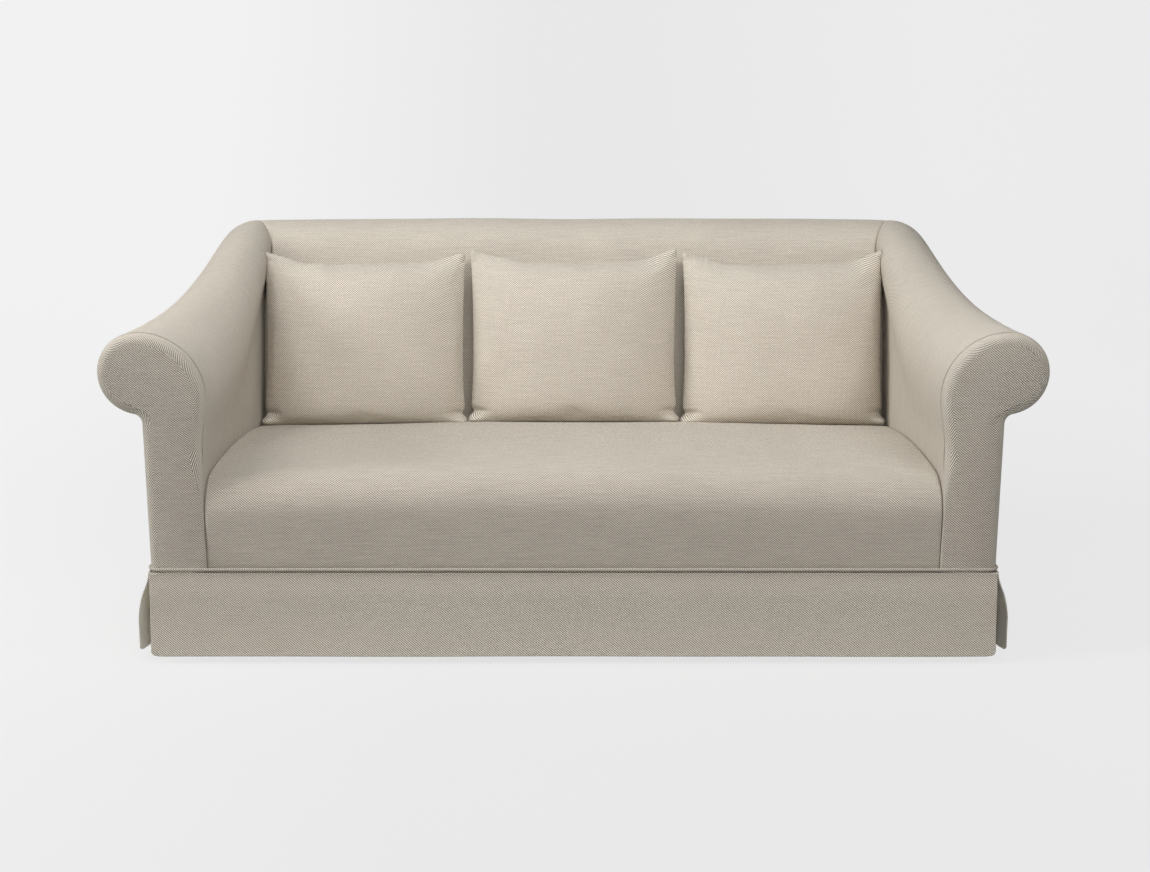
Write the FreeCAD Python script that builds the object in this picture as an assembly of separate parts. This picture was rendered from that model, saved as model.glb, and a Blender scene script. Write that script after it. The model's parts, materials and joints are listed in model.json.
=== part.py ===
"""A skirted three-seat sofa with scrolled arms, a tight back and seat, and three loose pillows.

Millimetres, +X to the right of someone who faces the sofa, its front towards -Y, +Z up.
Left and right are theirs too. The origin is on the floor under the middle of the sofa.
"""
import FreeCAD, Part
import math
import os

Vector = FreeCAD.Vector

# Seat and body
seat_width = 1690.0
arm_thickness = 132.5
body_depth = 980.0
seat_crest_height = 447.0
seat_crown = 13.0
seat_crest_setback = 310.0
seat_top_radius = 2200.0
waterfall_radius = 90.0
seat_section_shares = (-1.0, -0.6, 0.0, 0.6, 1.0)

# Scrolled arms, which sweep up to the back
arm_height = 767.0
roll_overhang = 95.0
roll_outer_radius = 94.0
roll_undercut_radius = 22.0
roll_inner_bulge = 15.0
bulge_height = 120.0
arm_edge_radius = 18.0
sweep_start = 207.0
sweep_rear_gap = 107.0
sweep_ease = 1.52
fade_start = 275.0
fade_rear_gap = 134.0
level_shares = (0.4, 0.8)
sweep_shares = (0.1, 0.2, 0.3, 0.4, 0.5, 0.6, 0.7, 0.8, 0.9)
rear_turns = (0, 30, 55, 75, 90)
wing_outer_radius = 102.0
wing_overhang = 1.0
wing_inner_bulge = 20.0

# Tight back
back_height = 958.0
back_end_drop = 5.0
back_end_power = 6
back_roll_radius = 95.0
back_rake = 11.0
back_section_shares = (-1.0, -0.85, -0.5, 0.5, 0.85, 1.0)

# Padding and cloth
panel_thickness = 6.0
front_padding = 12.0
arm_padding = 28.0
back_cover_padding = 25.0
back_foam_thickness = 56.0
seat_foam_thickness = 105.0
foam_edge_radius = 60.0
cloth_gap = 0.3

# Frame of hardwood rails
rail_thickness = 25.0
rail_height = 150.0
stretcher_height = 60.0
stretcher_count = 3
post_depth = 60.0
top_rail_height = 50.0
upright_width = 40.0
upright_thickness = 22.0
upright_count = 5
block_leg = 74.0
block_height = 50.0
scroll_board_thickness = 18.0
arm_rail_height = 70.0
arm_rail_drop = 85.0
tack_rail_height = 50.0
tack_rail_lift = 40.0
dowel_radius = 5.0
dowel_length = 40.0
dowel_row_shares = (0.4, 0.8)
screw_radius = 2.5
screw_bite = 20.0
screw_inset = 18.0
screw_stagger = 15.0
screw_head_radius = 5.0
screw_head_height = 4.0

# Feet
glide_height = 6.0
glide_radius = 16.0
foot_height = 123.0
foot_top_width = 62.0
foot_bottom_width = 48.0
foot_bolt_radius = 4.0
foot_bolt_length = 80.0
foot_inset = 30.0
dust_cover_thickness = 1.0

# Springs and webbing
spring_count = 9
spring_wire_radius = 1.9
spring_bends = 26
spring_run = 22.0
clip_width = 24.0
clip_depth = 16.0
clip_height = 8.0
tie_wire_radius = 1.25
tie_wire_count = 3
insulator_thickness = 3.0
web_width = 50.0
web_thickness = 2.0
upright_web_count = 7
cross_web_count = 3
back_rail_height = 50.0
back_rail_lift = 10.0

# Skirt and welt
skirt_length = 200.0
skirt_floor_gap = 12.0
skirt_thickness = 3.0
skirt_side_flare = 30.0
skirt_end_flare = 12.0
skirt_straight = 8.0
skirt_bend_height = 100.0
skirt_corner_slit = 2.0
skirt_corner_radius = 14.0
welt_radius = 3.8
welt_stand = 2.2
welt_reveal = 3.5

# Loose pillows
pillow_width = 544.0
pillow_height = 470.0
pillow_crown = 86.0
pillow_back_depth = 55.0
pillow_sink = 18.0
pillow_seam = 8.0
pillow_side_draw = 10.0
pillow_top_sag = 26.0
pillow_flatness = 2.6
pillow_fullness = 0.6
pillow_belly_share = 0.46
pillow_section_shares = (-1.0, -0.93, -0.75, -0.45, 0.0, 0.45, 0.75, 0.93, 1.0)
pillow_gap = 5.0
pillow_cover_thickness = 2.0
pillow_seam_allowance = 12.0

# Values that follow from the sizes above
body_width = seat_width + 2 * arm_thickness
half_body = body_width / 2
half_seat = seat_width / 2
half_depth = body_depth / 2
sweep_end = body_depth - sweep_rear_gap
fade_end = body_depth - fade_rear_gap
frame_bottom = glide_height + foot_height + dust_cover_thickness
rail_top = frame_bottom + rail_height
rail_side = half_body - panel_thickness
rail_front = -half_depth + front_padding
rail_back = half_depth - panel_thickness
inner_rail_outside = half_seat - cloth_gap
spring_height = rail_top + clip_height / 2
tie_height = spring_height + spring_wire_radius + tie_wire_radius + cloth_gap
deck_height = tie_height + tie_wire_radius + cloth_gap + insulator_thickness
rake = math.radians(back_rake)
roll_center_y = half_depth - back_roll_radius
roll_center_z = back_height - back_roll_radius
roll_touch_y = roll_center_y - back_roll_radius * math.cos(rake)
roll_touch_z = roll_center_z + back_roll_radius * math.sin(rake)
back_frame_offset = back_cover_padding + back_foam_thickness + 2 * web_thickness
top_rail_bottom = roll_center_z - rail_thickness
top_rail_top = top_rail_bottom + top_rail_height
top_rail_back = rail_back - upright_thickness
skirt_top = skirt_floor_gap + skirt_length
welt_height = skirt_top + welt_reveal + welt_radius


def block(x_range, y_range, z_range):
    """A box between two values on each axis."""
    corner = Vector(x_range[0], y_range[0], z_range[0])
    return Part.makeBox(x_range[1] - x_range[0], y_range[1] - y_range[0],
                        z_range[1] - z_range[0], corner)


def prism(points, direction):
    """A closed outline of straight sides, carried along a direction."""
    return Part.Face(Part.makePolygon(points + [points[0]])).extrude(direction)


def side_prism(outline, x_range):
    """An outline of (y, z) points carried from one x to another."""
    points = [Vector(x_range[0], y, z) for y, z in outline]
    return prism(points, Vector(x_range[1] - x_range[0], 0, 0))


def rod(start, direction, length, radius):
    """A round bar."""
    return Part.makeCylinder(radius, length, start, direction)


def mirrored(shape):
    """The same piece on the other side of the sofa's middle."""
    return shape.mirror(Vector(0, 0, 0), Vector(1, 0, 0))


def arc(start, middle, end):
    """A round stretch through three points."""
    return Part.Arc(start, middle, end).toShape()


def line(start, end):
    return Part.makeLine(start, end)


def spread(count, half_span):
    """Evenly spaced places across the sofa, the outer two at the half span."""
    return [half_span * (2 * i / (count - 1) - 1) for i in range(count)]


def smooth(share):
    """Rises from 0 to 1 with level ends."""
    share = min(max(share, 0.0), 1.0)
    return share * share * (3 - 2 * share)


def back_face_y(height):
    """The inside back's raked face, before its top turns over."""
    return roll_touch_y - (roll_touch_z - height) * math.tan(rake)


def back_frame_y(height):
    """The front of the raked back frame, behind cover, foam and webbing."""
    return back_face_y(height) + back_frame_offset


def arm_crest(setback):
    """The top of the arm at a distance behind the arm's front."""
    wing_top = back_height - back_end_drop
    share = (setback - sweep_start) / (sweep_end - sweep_start)
    rise = smooth(min(max(share, 0.0), 1.0) ** sweep_ease)
    crest = arm_height + (wing_top - arm_height) * rise
    past_crest = (setback - (body_depth - back_roll_radius)) / back_roll_radius
    if past_crest > 0:
        top_radius = back_roll_radius - back_end_drop
        crest -= top_radius * (1 - math.sqrt(max(1 - past_crest ** 2, 0)))
    return crest


def roll_sizes(setback, inset):
    """Where the roll's arcs lie at one place along the arm, drawn in by an inset."""
    fade = smooth((setback - fade_start) / (fade_end - fade_start))
    overhang = roll_overhang + (wing_overhang - roll_overhang) * fade
    outer_radius = roll_outer_radius + (wing_outer_radius - roll_outer_radius) * fade
    bulge = roll_inner_bulge + (wing_inner_bulge - roll_inner_bulge) * fade
    crest_x = half_body + overhang - outer_radius
    inner_radius = crest_x - (half_seat - bulge)
    crest_z = arm_crest(setback)
    across = outer_radius - overhang + roll_undercut_radius
    reach = outer_radius + roll_undercut_radius
    drop = math.sqrt(reach ** 2 - across ** 2)
    return {
        "crest_x": crest_x,
        "crest_z": crest_z - inset,
        "outer_center_z": crest_z - outer_radius,
        "inner_center_z": crest_z - inner_radius,
        "outer_radius": outer_radius - inset,
        "inner_radius": inner_radius - inset,
        "undercut_x": crest_x + across,
        "undercut_z": crest_z - outer_radius - drop,
        "undercut_radius": roll_undercut_radius + inset,
        "undercut_turn": math.atan2(-drop, across),
    }


def arm_section(setback, inset, bottom):
    """The arm's outline across one plane: inner face, roll, undercut and outer face."""
    y = -half_depth + setback
    roll = roll_sizes(setback, inset)
    half_turn = math.sqrt(0.5)

    def place(x, z):
        return Vector(x, y, z)

    def on_circle(center_x, center_z, radius, turn):
        return place(center_x + radius * math.cos(turn), center_z + radius * math.sin(turn))

    inner_x = half_seat + inset
    bulge_x = roll["crest_x"] - roll["inner_radius"]
    bulge_z = roll["inner_center_z"]
    bulge = inner_x - bulge_x
    turn = 2 * math.atan2(bulge, bulge_height)
    ease_radius = bulge_height / (2 * math.sin(turn))
    ease_x = ease_radius * (1 - math.cos(turn / 2))
    ease_z = ease_radius * math.sin(turn / 2)
    foot = place(inner_x, bulge_z - bulge_height)
    middle = place(inner_x - bulge / 2, bulge_z - bulge_height / 2)
    head = place(bulge_x, bulge_z)
    crest = place(roll["crest_x"], roll["crest_z"])
    outermost = place(roll["crest_x"] + roll["outer_radius"], roll["outer_center_z"])
    under = roll["undercut_turn"]
    tuck = on_circle(roll["crest_x"], roll["outer_center_z"], roll["outer_radius"], under)
    wall = place(roll["undercut_x"] - roll["undercut_radius"], roll["undercut_z"])
    half_bend = (under - math.pi) / 2 + math.pi
    edges = [
        line(place(inner_x, bottom), foot),
        arc(foot, place(inner_x - ease_x, foot.z + ease_z), middle),
        arc(middle, place(bulge_x + ease_x, bulge_z - ease_z), head),
        arc(head, place(roll["crest_x"] - roll["inner_radius"] * half_turn,
                        bulge_z + roll["inner_radius"] * half_turn), crest),
        arc(crest, place(roll["crest_x"] + roll["outer_radius"] * half_turn,
                         roll["outer_center_z"] + roll["outer_radius"] * half_turn), outermost),
        arc(outermost, on_circle(roll["crest_x"], roll["outer_center_z"],
                                 roll["outer_radius"], under / 2), tuck),
        arc(tuck, on_circle(roll["undercut_x"], roll["undercut_z"],
                            roll["undercut_radius"], half_bend + math.pi / 2), wall),
        line(wall, place(wall.x, bottom)),
        line(place(wall.x, bottom), place(inner_x, bottom)),
    ]
    return Part.Wire(edges)


def arm_setbacks(first):
    """Distances behind the front at which the arm's shape is set."""
    level = [first] + [share * sweep_start for share in level_shares]
    sweep = [sweep_start + (sweep_end - sweep_start) * share for share in sweep_shares]
    crest = body_depth - back_roll_radius
    roll = [crest + back_roll_radius * math.sin(math.radians(turn)) for turn in rear_turns]
    return level + sweep + roll


def make_arm_body():
    """The full outer form of one arm, with its soft rounded front edge."""
    sections = [arm_section(setback, 0.0, frame_bottom) for setback in arm_setbacks(0.0)]
    arm = Part.makeLoft(sections, True, False)
    front_edges = [edge for edge in arm.Edges
                   if edge.BoundBox.YMax < -half_depth + cloth_gap
                   and edge.BoundBox.ZMax > frame_bottom + cloth_gap]
    return arm.makeFillet(arm_edge_radius, front_edges)


def make_arm_hollow():
    """The space inside the arm's padding, which holds the arm frame, open below and behind."""
    setbacks = arm_setbacks(front_padding) + [body_depth + front_padding]
    bottom = frame_bottom - front_padding
    sections = [arm_section(setback, arm_padding, bottom) for setback in setbacks]
    return Part.makeLoft(sections, True, True)


def swept_board(x_range, setbacks, top_edge, bottom_edge):
    """A board across the X axis whose top and bottom edges follow heights given by setback."""
    def edge(height_at):
        points = [Vector(x_range[0], setback - half_depth, height_at(setback)) for setback in setbacks]
        curve = Part.BSplineCurve()
        curve.interpolate(points)
        return curve.toShape(), points[0], points[-1]

    top, top_front, top_rear = edge(top_edge)
    bottom, bottom_front, bottom_rear = edge(bottom_edge)
    outline = Part.Wire(Part.__sortEdges__([
        top, line(top_rear, bottom_rear), bottom, line(bottom_front, top_front)]))
    return Part.Face(outline).extrude(Vector(x_range[1] - x_range[0], 0, 0))


def under_roll(setback):
    """The height at which the outside arm meets the roll."""
    return roll_sizes(setback, 0.0)["undercut_z"]


def outside_arm_board(x_range, bottom, front):
    """The outside arm's outline, from its front edge to the outside back."""
    rear = body_depth - panel_thickness
    middle = [setback for setback in arm_setbacks(front) if front < setback < rear]
    return swept_board(x_range, [front] + middle + [rear], under_roll, lambda setback: bottom)


def make_outside_arm():
    """The flat outside arm panel, tacked on under the roll."""
    front = front_padding + scroll_board_thickness
    return outside_arm_board((rail_side, half_body), frame_bottom, front)


def make_arm_pad():
    """The padded inside arm, roll and front in one cover, hooked over the arm frame."""
    inward = half_seat - arm_thickness
    behind = raked_layer(-cloth_gap, half_depth, (frame_bottom, 2 * back_height),
                         (inward, half_seat + cloth_gap))
    pad = make_arm_body().cut(behind).cut(make_arm_hollow())
    pad = pad.cut(block((inward, rail_side), (rail_front, half_depth + front_padding), (0, rail_top)))
    outer_wall = (half_body - arm_padding - cloth_gap, half_body + cloth_gap)
    front = front_padding + scroll_board_thickness
    pad = pad.cut(outside_arm_board(outer_wall, frame_bottom - front_padding, front))
    return pad.cut(outside_back_board(half_body + wing_overhang + cloth_gap,
                                      frame_bottom - front_padding, roll_center_z + cloth_gap,
                                      panel_thickness + front_padding))


def make_scroll_board():
    """The plywood board that gives the arm front its scroll shape."""
    outline = arm_section(front_padding, arm_padding, rail_top)
    return Part.Face(outline).extrude(Vector(0, scroll_board_thickness, 0))


def outside_back_board(side_x, bottom, top, thickness):
    """A board behind the frame whose top corners follow the arms' round shoulders."""
    roll = roll_sizes(body_depth, 0.0)
    crest_x = roll["crest_x"]
    shoulder_z = roll["outer_center_z"]
    half_turn = math.sqrt(0.5)
    foot = Vector(side_x, rail_back, bottom)
    shoulder = Vector(side_x, rail_back, shoulder_z)
    bend = Vector(crest_x + (side_x - crest_x) * half_turn, rail_back,
                  shoulder_z + (top - shoulder_z) * half_turn)
    crest = Vector(crest_x, rail_back, top)

    def across(point):
        return Vector(-point.x, point.y, point.z)

    edges = [line(foot, shoulder), arc(shoulder, bend, crest), line(crest, across(crest)),
             arc(across(crest), across(bend), across(shoulder)),
             line(across(shoulder), across(foot)), line(across(foot), foot)]
    return Part.Face(Part.Wire(edges)).extrude(Vector(0, thickness, 0))


def make_outside_back():
    """The flat outside back, tacked on behind the frame."""
    return outside_back_board(half_body, frame_bottom, roll_center_z, panel_thickness)


def seat_section(x):
    """The seat from front to back: a front wall, a waterfall and a long flat crown."""
    crown_share = 1 - (x / half_seat) ** 2
    crest_z = seat_crest_height + seat_crown * crown_share
    crest_y = seat_crest_setback - half_depth
    center_z = crest_z - seat_top_radius
    across = seat_crest_setback - waterfall_radius
    reach = seat_top_radius - waterfall_radius
    fall_y = waterfall_radius - half_depth
    fall_z = center_z + math.sqrt(reach ** 2 - across ** 2)
    join_turn = math.atan2(fall_z - center_z, -across)
    half_bend = (join_turn + math.pi) / 2

    def place(y, z):
        return Vector(x, y, z)

    def fall(turn):
        return place(fall_y + waterfall_radius * math.cos(turn),
                     fall_z + waterfall_radius * math.sin(turn))

    def top_height(y):
        return center_z + math.sqrt(seat_top_radius ** 2 - (y - crest_y) ** 2)

    def rear_y(height):
        return back_face_y(height) - cloth_gap

    rear_z = crest_z
    for _ in range(3):
        rear_z = top_height(rear_y(rear_z))
    rear = place(rear_y(rear_z), rear_z)
    deck_rear = place(rear_y(deck_height), deck_height)
    wall_top = place(rail_front, deck_height)
    wall_foot = place(rail_front, frame_bottom)
    front_foot = place(-half_depth, frame_bottom)
    front_head = place(-half_depth, fall_z)
    edges = [
        line(front_foot, front_head),
        arc(front_head, fall(half_bend), fall(join_turn)),
        arc(fall(join_turn), place(crest_y, crest_z), rear),
        line(rear, deck_rear),
        line(deck_rear, wall_top),
        line(wall_top, wall_foot),
        line(wall_foot, front_foot),
    ]
    return Part.Wire(edges)


def make_seat_body():
    """The crowned seat, before room is made for its foam."""
    side = inner_rail_outside
    return Part.makeLoft([seat_section(side * share) for share in seat_section_shares], True, False)


def make_seat_foam():
    """The foam core on the spring deck, its front top edge rounded."""
    side = inner_rail_outside - arm_padding
    front = rail_front + front_padding
    rear = back_face_y(deck_height) - arm_padding
    top = deck_height + seat_foam_thickness
    bend = foam_edge_radius * (1 - math.sqrt(0.5))

    def place(y, z):
        return Vector(-side, y, z)

    edges = [
        line(place(front, deck_height), place(front, top - foam_edge_radius)),
        arc(place(front, top - foam_edge_radius), place(front + bend, top - bend),
            place(front + foam_edge_radius, top)),
        line(place(front + foam_edge_radius, top), place(rear, top)),
        line(place(rear, top), place(rear, deck_height)),
        line(place(rear, deck_height), place(front, deck_height)),
    ]
    return Part.Face(Part.Wire(edges)).extrude(Vector(2 * side, 0, 0))


def back_section(x):
    """The back's cover and top roll, round the foam and the top rail."""
    drop = back_end_drop * (x / inner_rail_outside) ** back_end_power
    top_radius = back_roll_radius - drop
    start = math.pi - rake
    half_bend = (start + math.pi / 2) / 2

    def place(y, z):
        return Vector(x, y, z)

    def on_roll(turn):
        return place(roll_center_y + back_roll_radius * math.cos(turn),
                     roll_center_z + top_radius * math.sin(turn))

    touch = place(roll_touch_y, roll_touch_z)
    crest = on_roll(math.pi / 2)
    rear = place(half_depth, roll_center_z)
    rail_head = top_rail_top + cloth_gap
    edges = [
        line(place(back_face_y(deck_height), deck_height), touch),
        arc(touch, on_roll(half_bend), crest),
        arc(crest, on_roll(math.pi / 4), rear),
        line(rear, place(top_rail_back + cloth_gap, roll_center_z)),
        line(place(top_rail_back + cloth_gap, roll_center_z),
             place(top_rail_back + cloth_gap, rail_head)),
        line(place(top_rail_back + cloth_gap, rail_head),
             place(back_face_y(rail_head) + back_cover_padding, rail_head)),
        line(place(back_face_y(rail_head) + back_cover_padding, rail_head),
             place(back_face_y(deck_height) + back_cover_padding, deck_height)),
        line(place(back_face_y(deck_height) + back_cover_padding, deck_height),
             place(back_face_y(deck_height), deck_height)),
    ]
    return Part.Wire(edges)


def make_back_pad():
    """The tight inside back, which rolls over the top rail to the outside back."""
    side = inner_rail_outside
    return Part.makeLoft([back_section(side * share) for share in back_section_shares], True, False)


def raked_layer(front_offset, thickness, z_range, x_range):
    """A layer parallel to the inside back, at a depth behind its face."""
    outline = []
    for height, depth in ((z_range[0], 0), (z_range[1], 0), (z_range[1], 1), (z_range[0], 1)):
        outline.append((back_face_y(height) + front_offset + thickness * depth, height))
    return side_prism(outline, x_range)


def make_back_foam():
    side = inner_rail_outside - cloth_gap
    return raked_layer(back_cover_padding, back_foam_thickness, (deck_height, top_rail_top),
                       (-side, side))


def make_back_webbing():
    """Upright straps from the lower back rail to the top rail, with cross straps over them."""
    lowest = deck_height + back_rail_lift
    highest = top_rail_bottom + rail_thickness
    cross_depth = back_cover_padding + back_foam_thickness
    post_clear = inner_rail_outside - rail_thickness - web_width
    straps = []
    for x in spread(upright_web_count, post_clear):
        straps.append(raked_layer(cross_depth + web_thickness, web_thickness, (lowest, highest),
                                  (x - web_width / 2, x + web_width / 2)))
    for i in range(cross_web_count):
        height = lowest + (highest - lowest) * (i + 1) / (cross_web_count + 1)
        straps.append(raked_layer(cross_depth, web_thickness,
                                  (height - web_width / 2, height + web_width / 2),
                                  (-inner_rail_outside, inner_rail_outside)))
    return straps


def raked_rail(z_range, depth, x_range):
    """A rail or post whose front and back follow the back's rake."""
    return raked_layer(back_frame_offset, depth, z_range, x_range)


def make_back_post():
    """The right raked post of the back frame, standing on the inner side rail."""
    return raked_rail((rail_top, top_rail_bottom), post_depth,
                      (inner_rail_outside - rail_thickness, inner_rail_outside))


def make_back_top_rail():
    """The rail across the top of the back, raked in front and plumb behind."""
    outline = [(back_frame_y(top_rail_bottom), top_rail_bottom),
               (back_frame_y(top_rail_top), top_rail_top),
               (top_rail_back, top_rail_top), (top_rail_back, top_rail_bottom)]
    return side_prism(outline, (-inner_rail_outside, inner_rail_outside))


def make_back_lower_rail():
    side = inner_rail_outside - rail_thickness
    bottom = deck_height + back_rail_lift
    return raked_rail((bottom, bottom + back_rail_height), rail_thickness, (-side, side))


def make_seat_back_rail():
    """The rail that holds the springs' rear ends, under the front of the back frame."""
    side = inner_rail_outside - rail_thickness
    return raked_rail((frame_bottom, rail_top), rail_thickness, (-side, side))


def make_back_uprights():
    """Slats that carry the outside back, from the back rail up to the top rail."""
    span = inner_rail_outside - upright_width / 2
    return [block((x - upright_width / 2, x + upright_width / 2), (top_rail_back, rail_back),
                  (rail_top, roll_center_z)) for x in spread(upright_count, span)]


def make_stretchers(seat_back_rail):
    """Low cross rails from the front rail to the seat's back rail, clear of the springs."""
    span = half_seat / 2
    rear = back_frame_y(frame_bottom + stretcher_height)
    stretchers = []
    for x in spread(stretcher_count, span):
        bar = block((x - rail_thickness / 2, x + rail_thickness / 2),
                    (rail_front + rail_thickness, rear),
                    (frame_bottom, frame_bottom + stretcher_height))
        stretchers.append(bar.cut(seat_back_rail))
    return stretchers


def make_corner_blocks():
    """Triangular blocks in the four corners of the frame, inside the arm posts."""
    corner_x = rail_side - 2 * rail_thickness
    blocks = []
    for x_side in (-1, 1):
        for y, inward in ((rail_front + rail_thickness, 1), (rail_back - rail_thickness, -1)):
            points = [Vector(x_side * corner_x, y, frame_bottom),
                      Vector(x_side * (corner_x - block_leg), y, frame_bottom),
                      Vector(x_side * corner_x, y + inward * block_leg, frame_bottom)]
            blocks.append(prism(points, Vector(0, 0, block_height)))
    return blocks


def make_corner_screws():
    """Two wood screws through each corner block, one into the rail and one into the post."""
    corner_x = rail_side - 2 * rail_thickness
    height = frame_bottom + block_height / 2
    screws = []
    for x_side in (-1, 1):
        for y, inward in ((rail_front + rail_thickness, 1), (rail_back - rail_thickness, -1)):
            start = Vector(x_side * (corner_x - block_leg + screw_inset), y + inward * screw_inset, height)
            screws.append(make_screw(start, Vector(0, -inward, 0), screw_inset + screw_bite))
            start = Vector(x_side * (corner_x - screw_inset), y + inward * (block_leg - screw_inset),
                           height - screw_stagger)
            screws.append(make_screw(start, Vector(x_side, 0, 0), screw_inset + screw_bite))
    return screws


def make_screw(start, direction, length):
    """A round-headed screw: its head outside the start, its shank beyond it."""
    head = rod(start - direction * screw_head_height, direction, screw_head_height,
               screw_head_radius)
    return head.fuse(rod(start, direction, length, screw_radius)).removeSplitter()


def make_dowels():
    """Dowels centred on the butt joints between the rails, stretchers and posts."""
    along_x = Vector(1, 0, 0)
    along_y = Vector(0, 1, 0)
    upward = Vector(0, 0, 1)
    rail_heights = [frame_bottom + rail_height * share for share in dowel_row_shares]
    joint_rows = (rail_front + rail_thickness, rail_back - rail_thickness)
    inner_x = inner_rail_outside - rail_thickness / 2
    places = []
    for x_side in (-1, 1):
        for height in rail_heights:
            for y in joint_rows:
                places.append((Vector(x_side * (rail_side - rail_thickness / 2), y, height), along_y))
                places.append((Vector(x_side * inner_x, y, height), along_y))
            seat_y = back_frame_y(height) + rail_thickness / 2
            places.append((Vector(x_side * (inner_rail_outside - rail_thickness), seat_y, height),
                           along_x))
        post_middle = back_frame_offset + post_depth / 2
        places.append((Vector(x_side * inner_x, back_face_y(rail_top) + post_middle, rail_top), upward))
        places.append((Vector(x_side * inner_x, back_face_y(top_rail_bottom) + post_middle,
                              top_rail_bottom), upward))
    stretcher_middle = frame_bottom + stretcher_height / 2
    for x in spread(stretcher_count, half_seat / 2):
        places.append((Vector(x, joint_rows[0], stretcher_middle), along_y))
    return [rod(place - direction * (dowel_length / 2), direction, dowel_length, dowel_radius)
            for place, direction in places]


def arm_rail_top(setback):
    """The upper edge of the arm's top rail, which follows the arm's sweep."""
    return arm_crest(setback) - arm_rail_drop


def arm_rail_foot(setback):
    """The lower edge of the arm's top rail, level again where it meets the rear post."""
    level = min(setback, body_depth - back_roll_radius)
    return arm_crest(level) - arm_rail_drop - arm_rail_height


def arm_post_x():
    """Where the arm's frame stands: just inside the side rail."""
    return (rail_side - 2 * rail_thickness, rail_side - rail_thickness)


def make_arm_top_rail():
    front = front_padding + scroll_board_thickness
    rear = body_depth - panel_thickness - rail_thickness
    middle = [setback for setback in arm_setbacks(front) if front < setback < rear]
    rail = swept_board(arm_post_x(), [front] + middle + [rear], arm_rail_top, arm_rail_foot)
    return rail.cut(make_arm_front_post()).cut(make_arm_back_post())


def make_arm_front_post():
    front = rail_front + rail_thickness
    top = arm_rail_foot(front_padding + rail_thickness)
    return block(arm_post_x(), (front, front + post_depth), (frame_bottom, top))


def make_arm_back_post():
    rear = rail_back - rail_thickness
    return block(arm_post_x(), (rear - post_depth, rear),
                 (frame_bottom, arm_rail_foot(body_depth)))


def make_arm_tack_rail():
    """The rail between the arm posts to which the inside arm's cloth is tacked."""
    bottom = rail_top + tack_rail_lift
    return block(arm_post_x(), (rail_front + rail_thickness + post_depth,
                                rail_back - rail_thickness - post_depth),
                 (bottom, bottom + tack_rail_height))


def foot_places():
    """The four corner feet, then the two under the middle stretcher."""
    corner_x = rail_side - 2 * rail_thickness - foot_inset
    front = rail_front + rail_thickness + foot_inset
    rear = rail_back - rail_thickness - foot_inset
    seat_rear = back_frame_y(frame_bottom) - foot_inset
    return {
        "front_left": (-corner_x, front),
        "front_right": (corner_x, front),
        "back_left": (-corner_x, rear),
        "back_right": (corner_x, rear),
        "middle_front": (0.0, front),
        "middle_back": (0.0, seat_rear),
    }


def make_foot(x, y):
    """A square block that tapers to the floor."""
    def square(width, height):
        half = width / 2
        corners = [Vector(x + a * half, y + b * half, height)
                   for a, b in ((-1, -1), (1, -1), (1, 1), (-1, 1))]
        return Part.makePolygon(corners + [corners[0]])

    return Part.makeLoft([square(foot_bottom_width, glide_height),
                          square(foot_top_width, glide_height + foot_height)], True, True)


def make_glides():
    return [rod(Vector(x, y, 0), Vector(0, 0, 1), glide_height, glide_radius)
            for x, y in foot_places().values()]


def make_foot_bolts():
    """Hanger bolts, half in the foot and half in the frame above it."""
    start = frame_bottom - foot_bolt_length / 2
    return [rod(Vector(x, y, start), Vector(0, 0, 1), foot_bolt_length, foot_bolt_radius)
            for x, y in foot_places().values()]


def spring_ends():
    """The Y places where each spring is clipped to the rails."""
    return rail_front + rail_thickness / 2, back_frame_y(rail_top) + rail_thickness / 2


def make_seat_springs():
    """Zigzag springs from the front rail to the seat's back rail, each one bent wire."""
    front, rear = spring_ends()
    step = (rear - front) / spring_bends
    half_run = spring_run / 2
    edges = []
    for i in range(spring_bends + 1):
        side = 1 if i % 2 == 0 else -1
        y = front + i * step
        run_end = Vector(side * half_run, y, spring_height)
        edges.append(line(Vector(-side * half_run, y, spring_height), run_end))
        if i < spring_bends:
            bend = Vector(side * (half_run + step / 2), y + step / 2, spring_height)
            edges.append(arc(run_end, bend, run_end + Vector(0, step, 0)))
    path = Part.Wire(edges)
    section = Part.Wire(Part.makeCircle(spring_wire_radius, Vector(-half_run, front, spring_height),
                                        Vector(1, 0, 0)))
    spring = path.makePipeShell([section], True, False)
    return [spring.translated(Vector(x, 0, 0)) for x in spring_places()]


def spring_places():
    """The springs' middles, evenly between the inner side rails."""
    pitch = 2 * (inner_rail_outside - rail_thickness) / spring_count
    return [pitch * (i - (spring_count - 1) / 2) for i in range(spring_count)]


def make_spring_clips():
    """Folded clips on the rails, closed round the springs' end wires."""
    clips = []
    for x in spring_places():
        for y in spring_ends():
            clips.append(block((x - clip_width / 2, x + clip_width / 2),
                               (y - clip_depth / 2, y + clip_depth / 2),
                               (rail_top, rail_top + clip_height)))
    return clips


def make_tie_wires():
    """Straight wires across the springs, which keep them side by side."""
    front, rear = spring_ends()
    half_length = inner_rail_outside - rail_thickness
    wires = []
    for i in range(tie_wire_count):
        y = front + (rear - front) * (i + 1) / (tie_wire_count + 1)
        wires.append(rod(Vector(-half_length, y, tie_height), Vector(1, 0, 0), 2 * half_length,
                         tie_wire_radius))
    return wires


def make_insulator():
    """The felt sheet between the springs and the foam."""
    rear = back_face_y(deck_height) + back_cover_padding + back_foam_thickness - cloth_gap
    side = inner_rail_outside - rail_thickness
    return block((-side, side), (rail_front, rear), (deck_height - insulator_thickness, deck_height))


def make_dust_cover():
    return block((-rail_side, rail_side), (rail_front, rail_back),
                 (frame_bottom - dust_cover_thickness, frame_bottom))


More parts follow.
